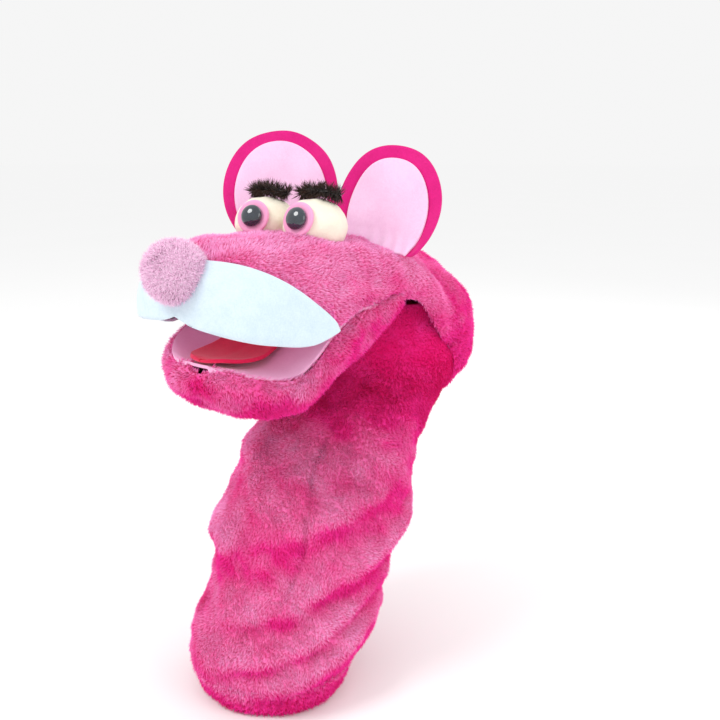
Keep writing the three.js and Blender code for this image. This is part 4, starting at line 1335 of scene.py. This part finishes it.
def make_brows():
    rise = PAD_SIZE[2] + 3.6
    bristle = tuft_shape("brow_bristle", 2, 5.6, 0.42, 0.12, 0.04, 0.06, 9)
    for side, sign in (("left", 1), ("right", -1)):
        knots = [(sign * (PAD_SPACING + PAD_SIZE[0] * s), pad_y + 2 + 4 * s * s, pad_z
                  + rise * math.sqrt(1 - 0.32 * s * s))
                 for s in (-0.76, -0.4, 0, 0.4, 0.80)]
        line = spline(knots, 150)
        tangent = unit(np.gradient(line, axis=0))
        side_way = unit(np.cross(tangent, [0, 0, 1]))
        up_way = np.cross(side_way, tangent)
        # two fine wires twisted together
        rows = []
        for strand in (0, math.pi):
            turn = np.linspace(0, 22 * math.pi, 150) + strand
            axis = line + (side_way * np.cos(turn)[:, None] + up_way * np.sin(turn)[:, None]) * 0.42
            ring = np.linspace(0, 2 * math.pi, 6, endpoint=False)
            rows.append(axis[:, None] + (side_way[:, None] * np.cos(ring)[None, :, None]
                                         + up_way[:, None] * np.sin(ring)[None, :, None]) * 0.36)
        points = np.concatenate([r.reshape(-1, 3) for r in rows])
        one = grid_faces(150, 6, True)
        one += [tuple(range(6)), tuple(range(149 * 6, 150 * 6))[::-1]]
        faces = one + [tuple(i + 900 for i in f) for f in one]
        wire = mesh_object(f"brow_twist_{side}", points, faces, [WIRE])
        rng = np.random.default_rng(81 if sign > 0 else 82)
        count = 1000
        k = rng.integers(0, 150, count)
        ring = rng.random(count) * 2 * math.pi
        clump = 0.55 * ripple(np.stack([k / 4.0, np.cos(ring) * 4, np.sin(ring) * 4], 1), 7, 83)
        out = side_way[k] * np.cos(ring)[:, None] + up_way[k] * np.sin(ring)[:, None]
        way = unit(out + tangent[k] * (clump + 0.30 * rng.normal(size=count))[:, None])
        roots = mesh_object(f"brow_roots_{side}", line[k] + out * 0.3, [])
        put(roots, "lay", way)
        put(roots, "long", np.ones(count))
        put(roots, "root_place", np.stack([0.03 + 0.9 * k / 150, 0.03 + 0.9 * ring / 6.3, 0 * ring], 1))
        pile = lay_fibres(f"brow_bristles_{side}", roots, ON_POINTS, Tuft=bristle, Finish=CHENILLE,
                          Furry=CHENILLE,
                          Smallest=0.72, Largest=1.08, Cell=0.02, Seed=9)
        bpy.data.objects.remove(roots)
        for piece, slot, node in ((wire, "wire", f"brow_wire_{side}"),
                                  (pile, "chenille", f"brow_pile_{side}")):
            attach(piece, "head")
            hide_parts(node)


# ---------------------------------------------------------------- pieces carried over from the frame
def finish_carried():
    for node, material in (("crown_wadding", WADDING), ("palate_board", BOARD), ("floor_board", BOARD),
                           ("hinge_tape", TAPE)):
        mesh = frame["nodes"][node].data
        mesh.materials.clear()
        mesh.materials.append(material)


def make_floor():
    floor = mesh_object("floor", [(-2e4, -2e4, -1.5), (2e4, -2e4, -1.5), (2e4, 2e4, -1.5), (-2e4, 2e4, -1.5)],
                        [(0, 1, 2, 3)], [floor_finish()])


place_camera()
place_lights()
make_hem()
make_sleeve()
make_head()
make_jaw()
make_muzzle()
make_linings()
make_tongue()
make_ears()
make_nose()
make_eyes()
make_brows()
finish_carried()
make_floor()
for helper in [o for o in bpy.data.objects if o.name.endswith(("_tuft", "_bristle"))]:
    bpy.data.objects.remove(helper)
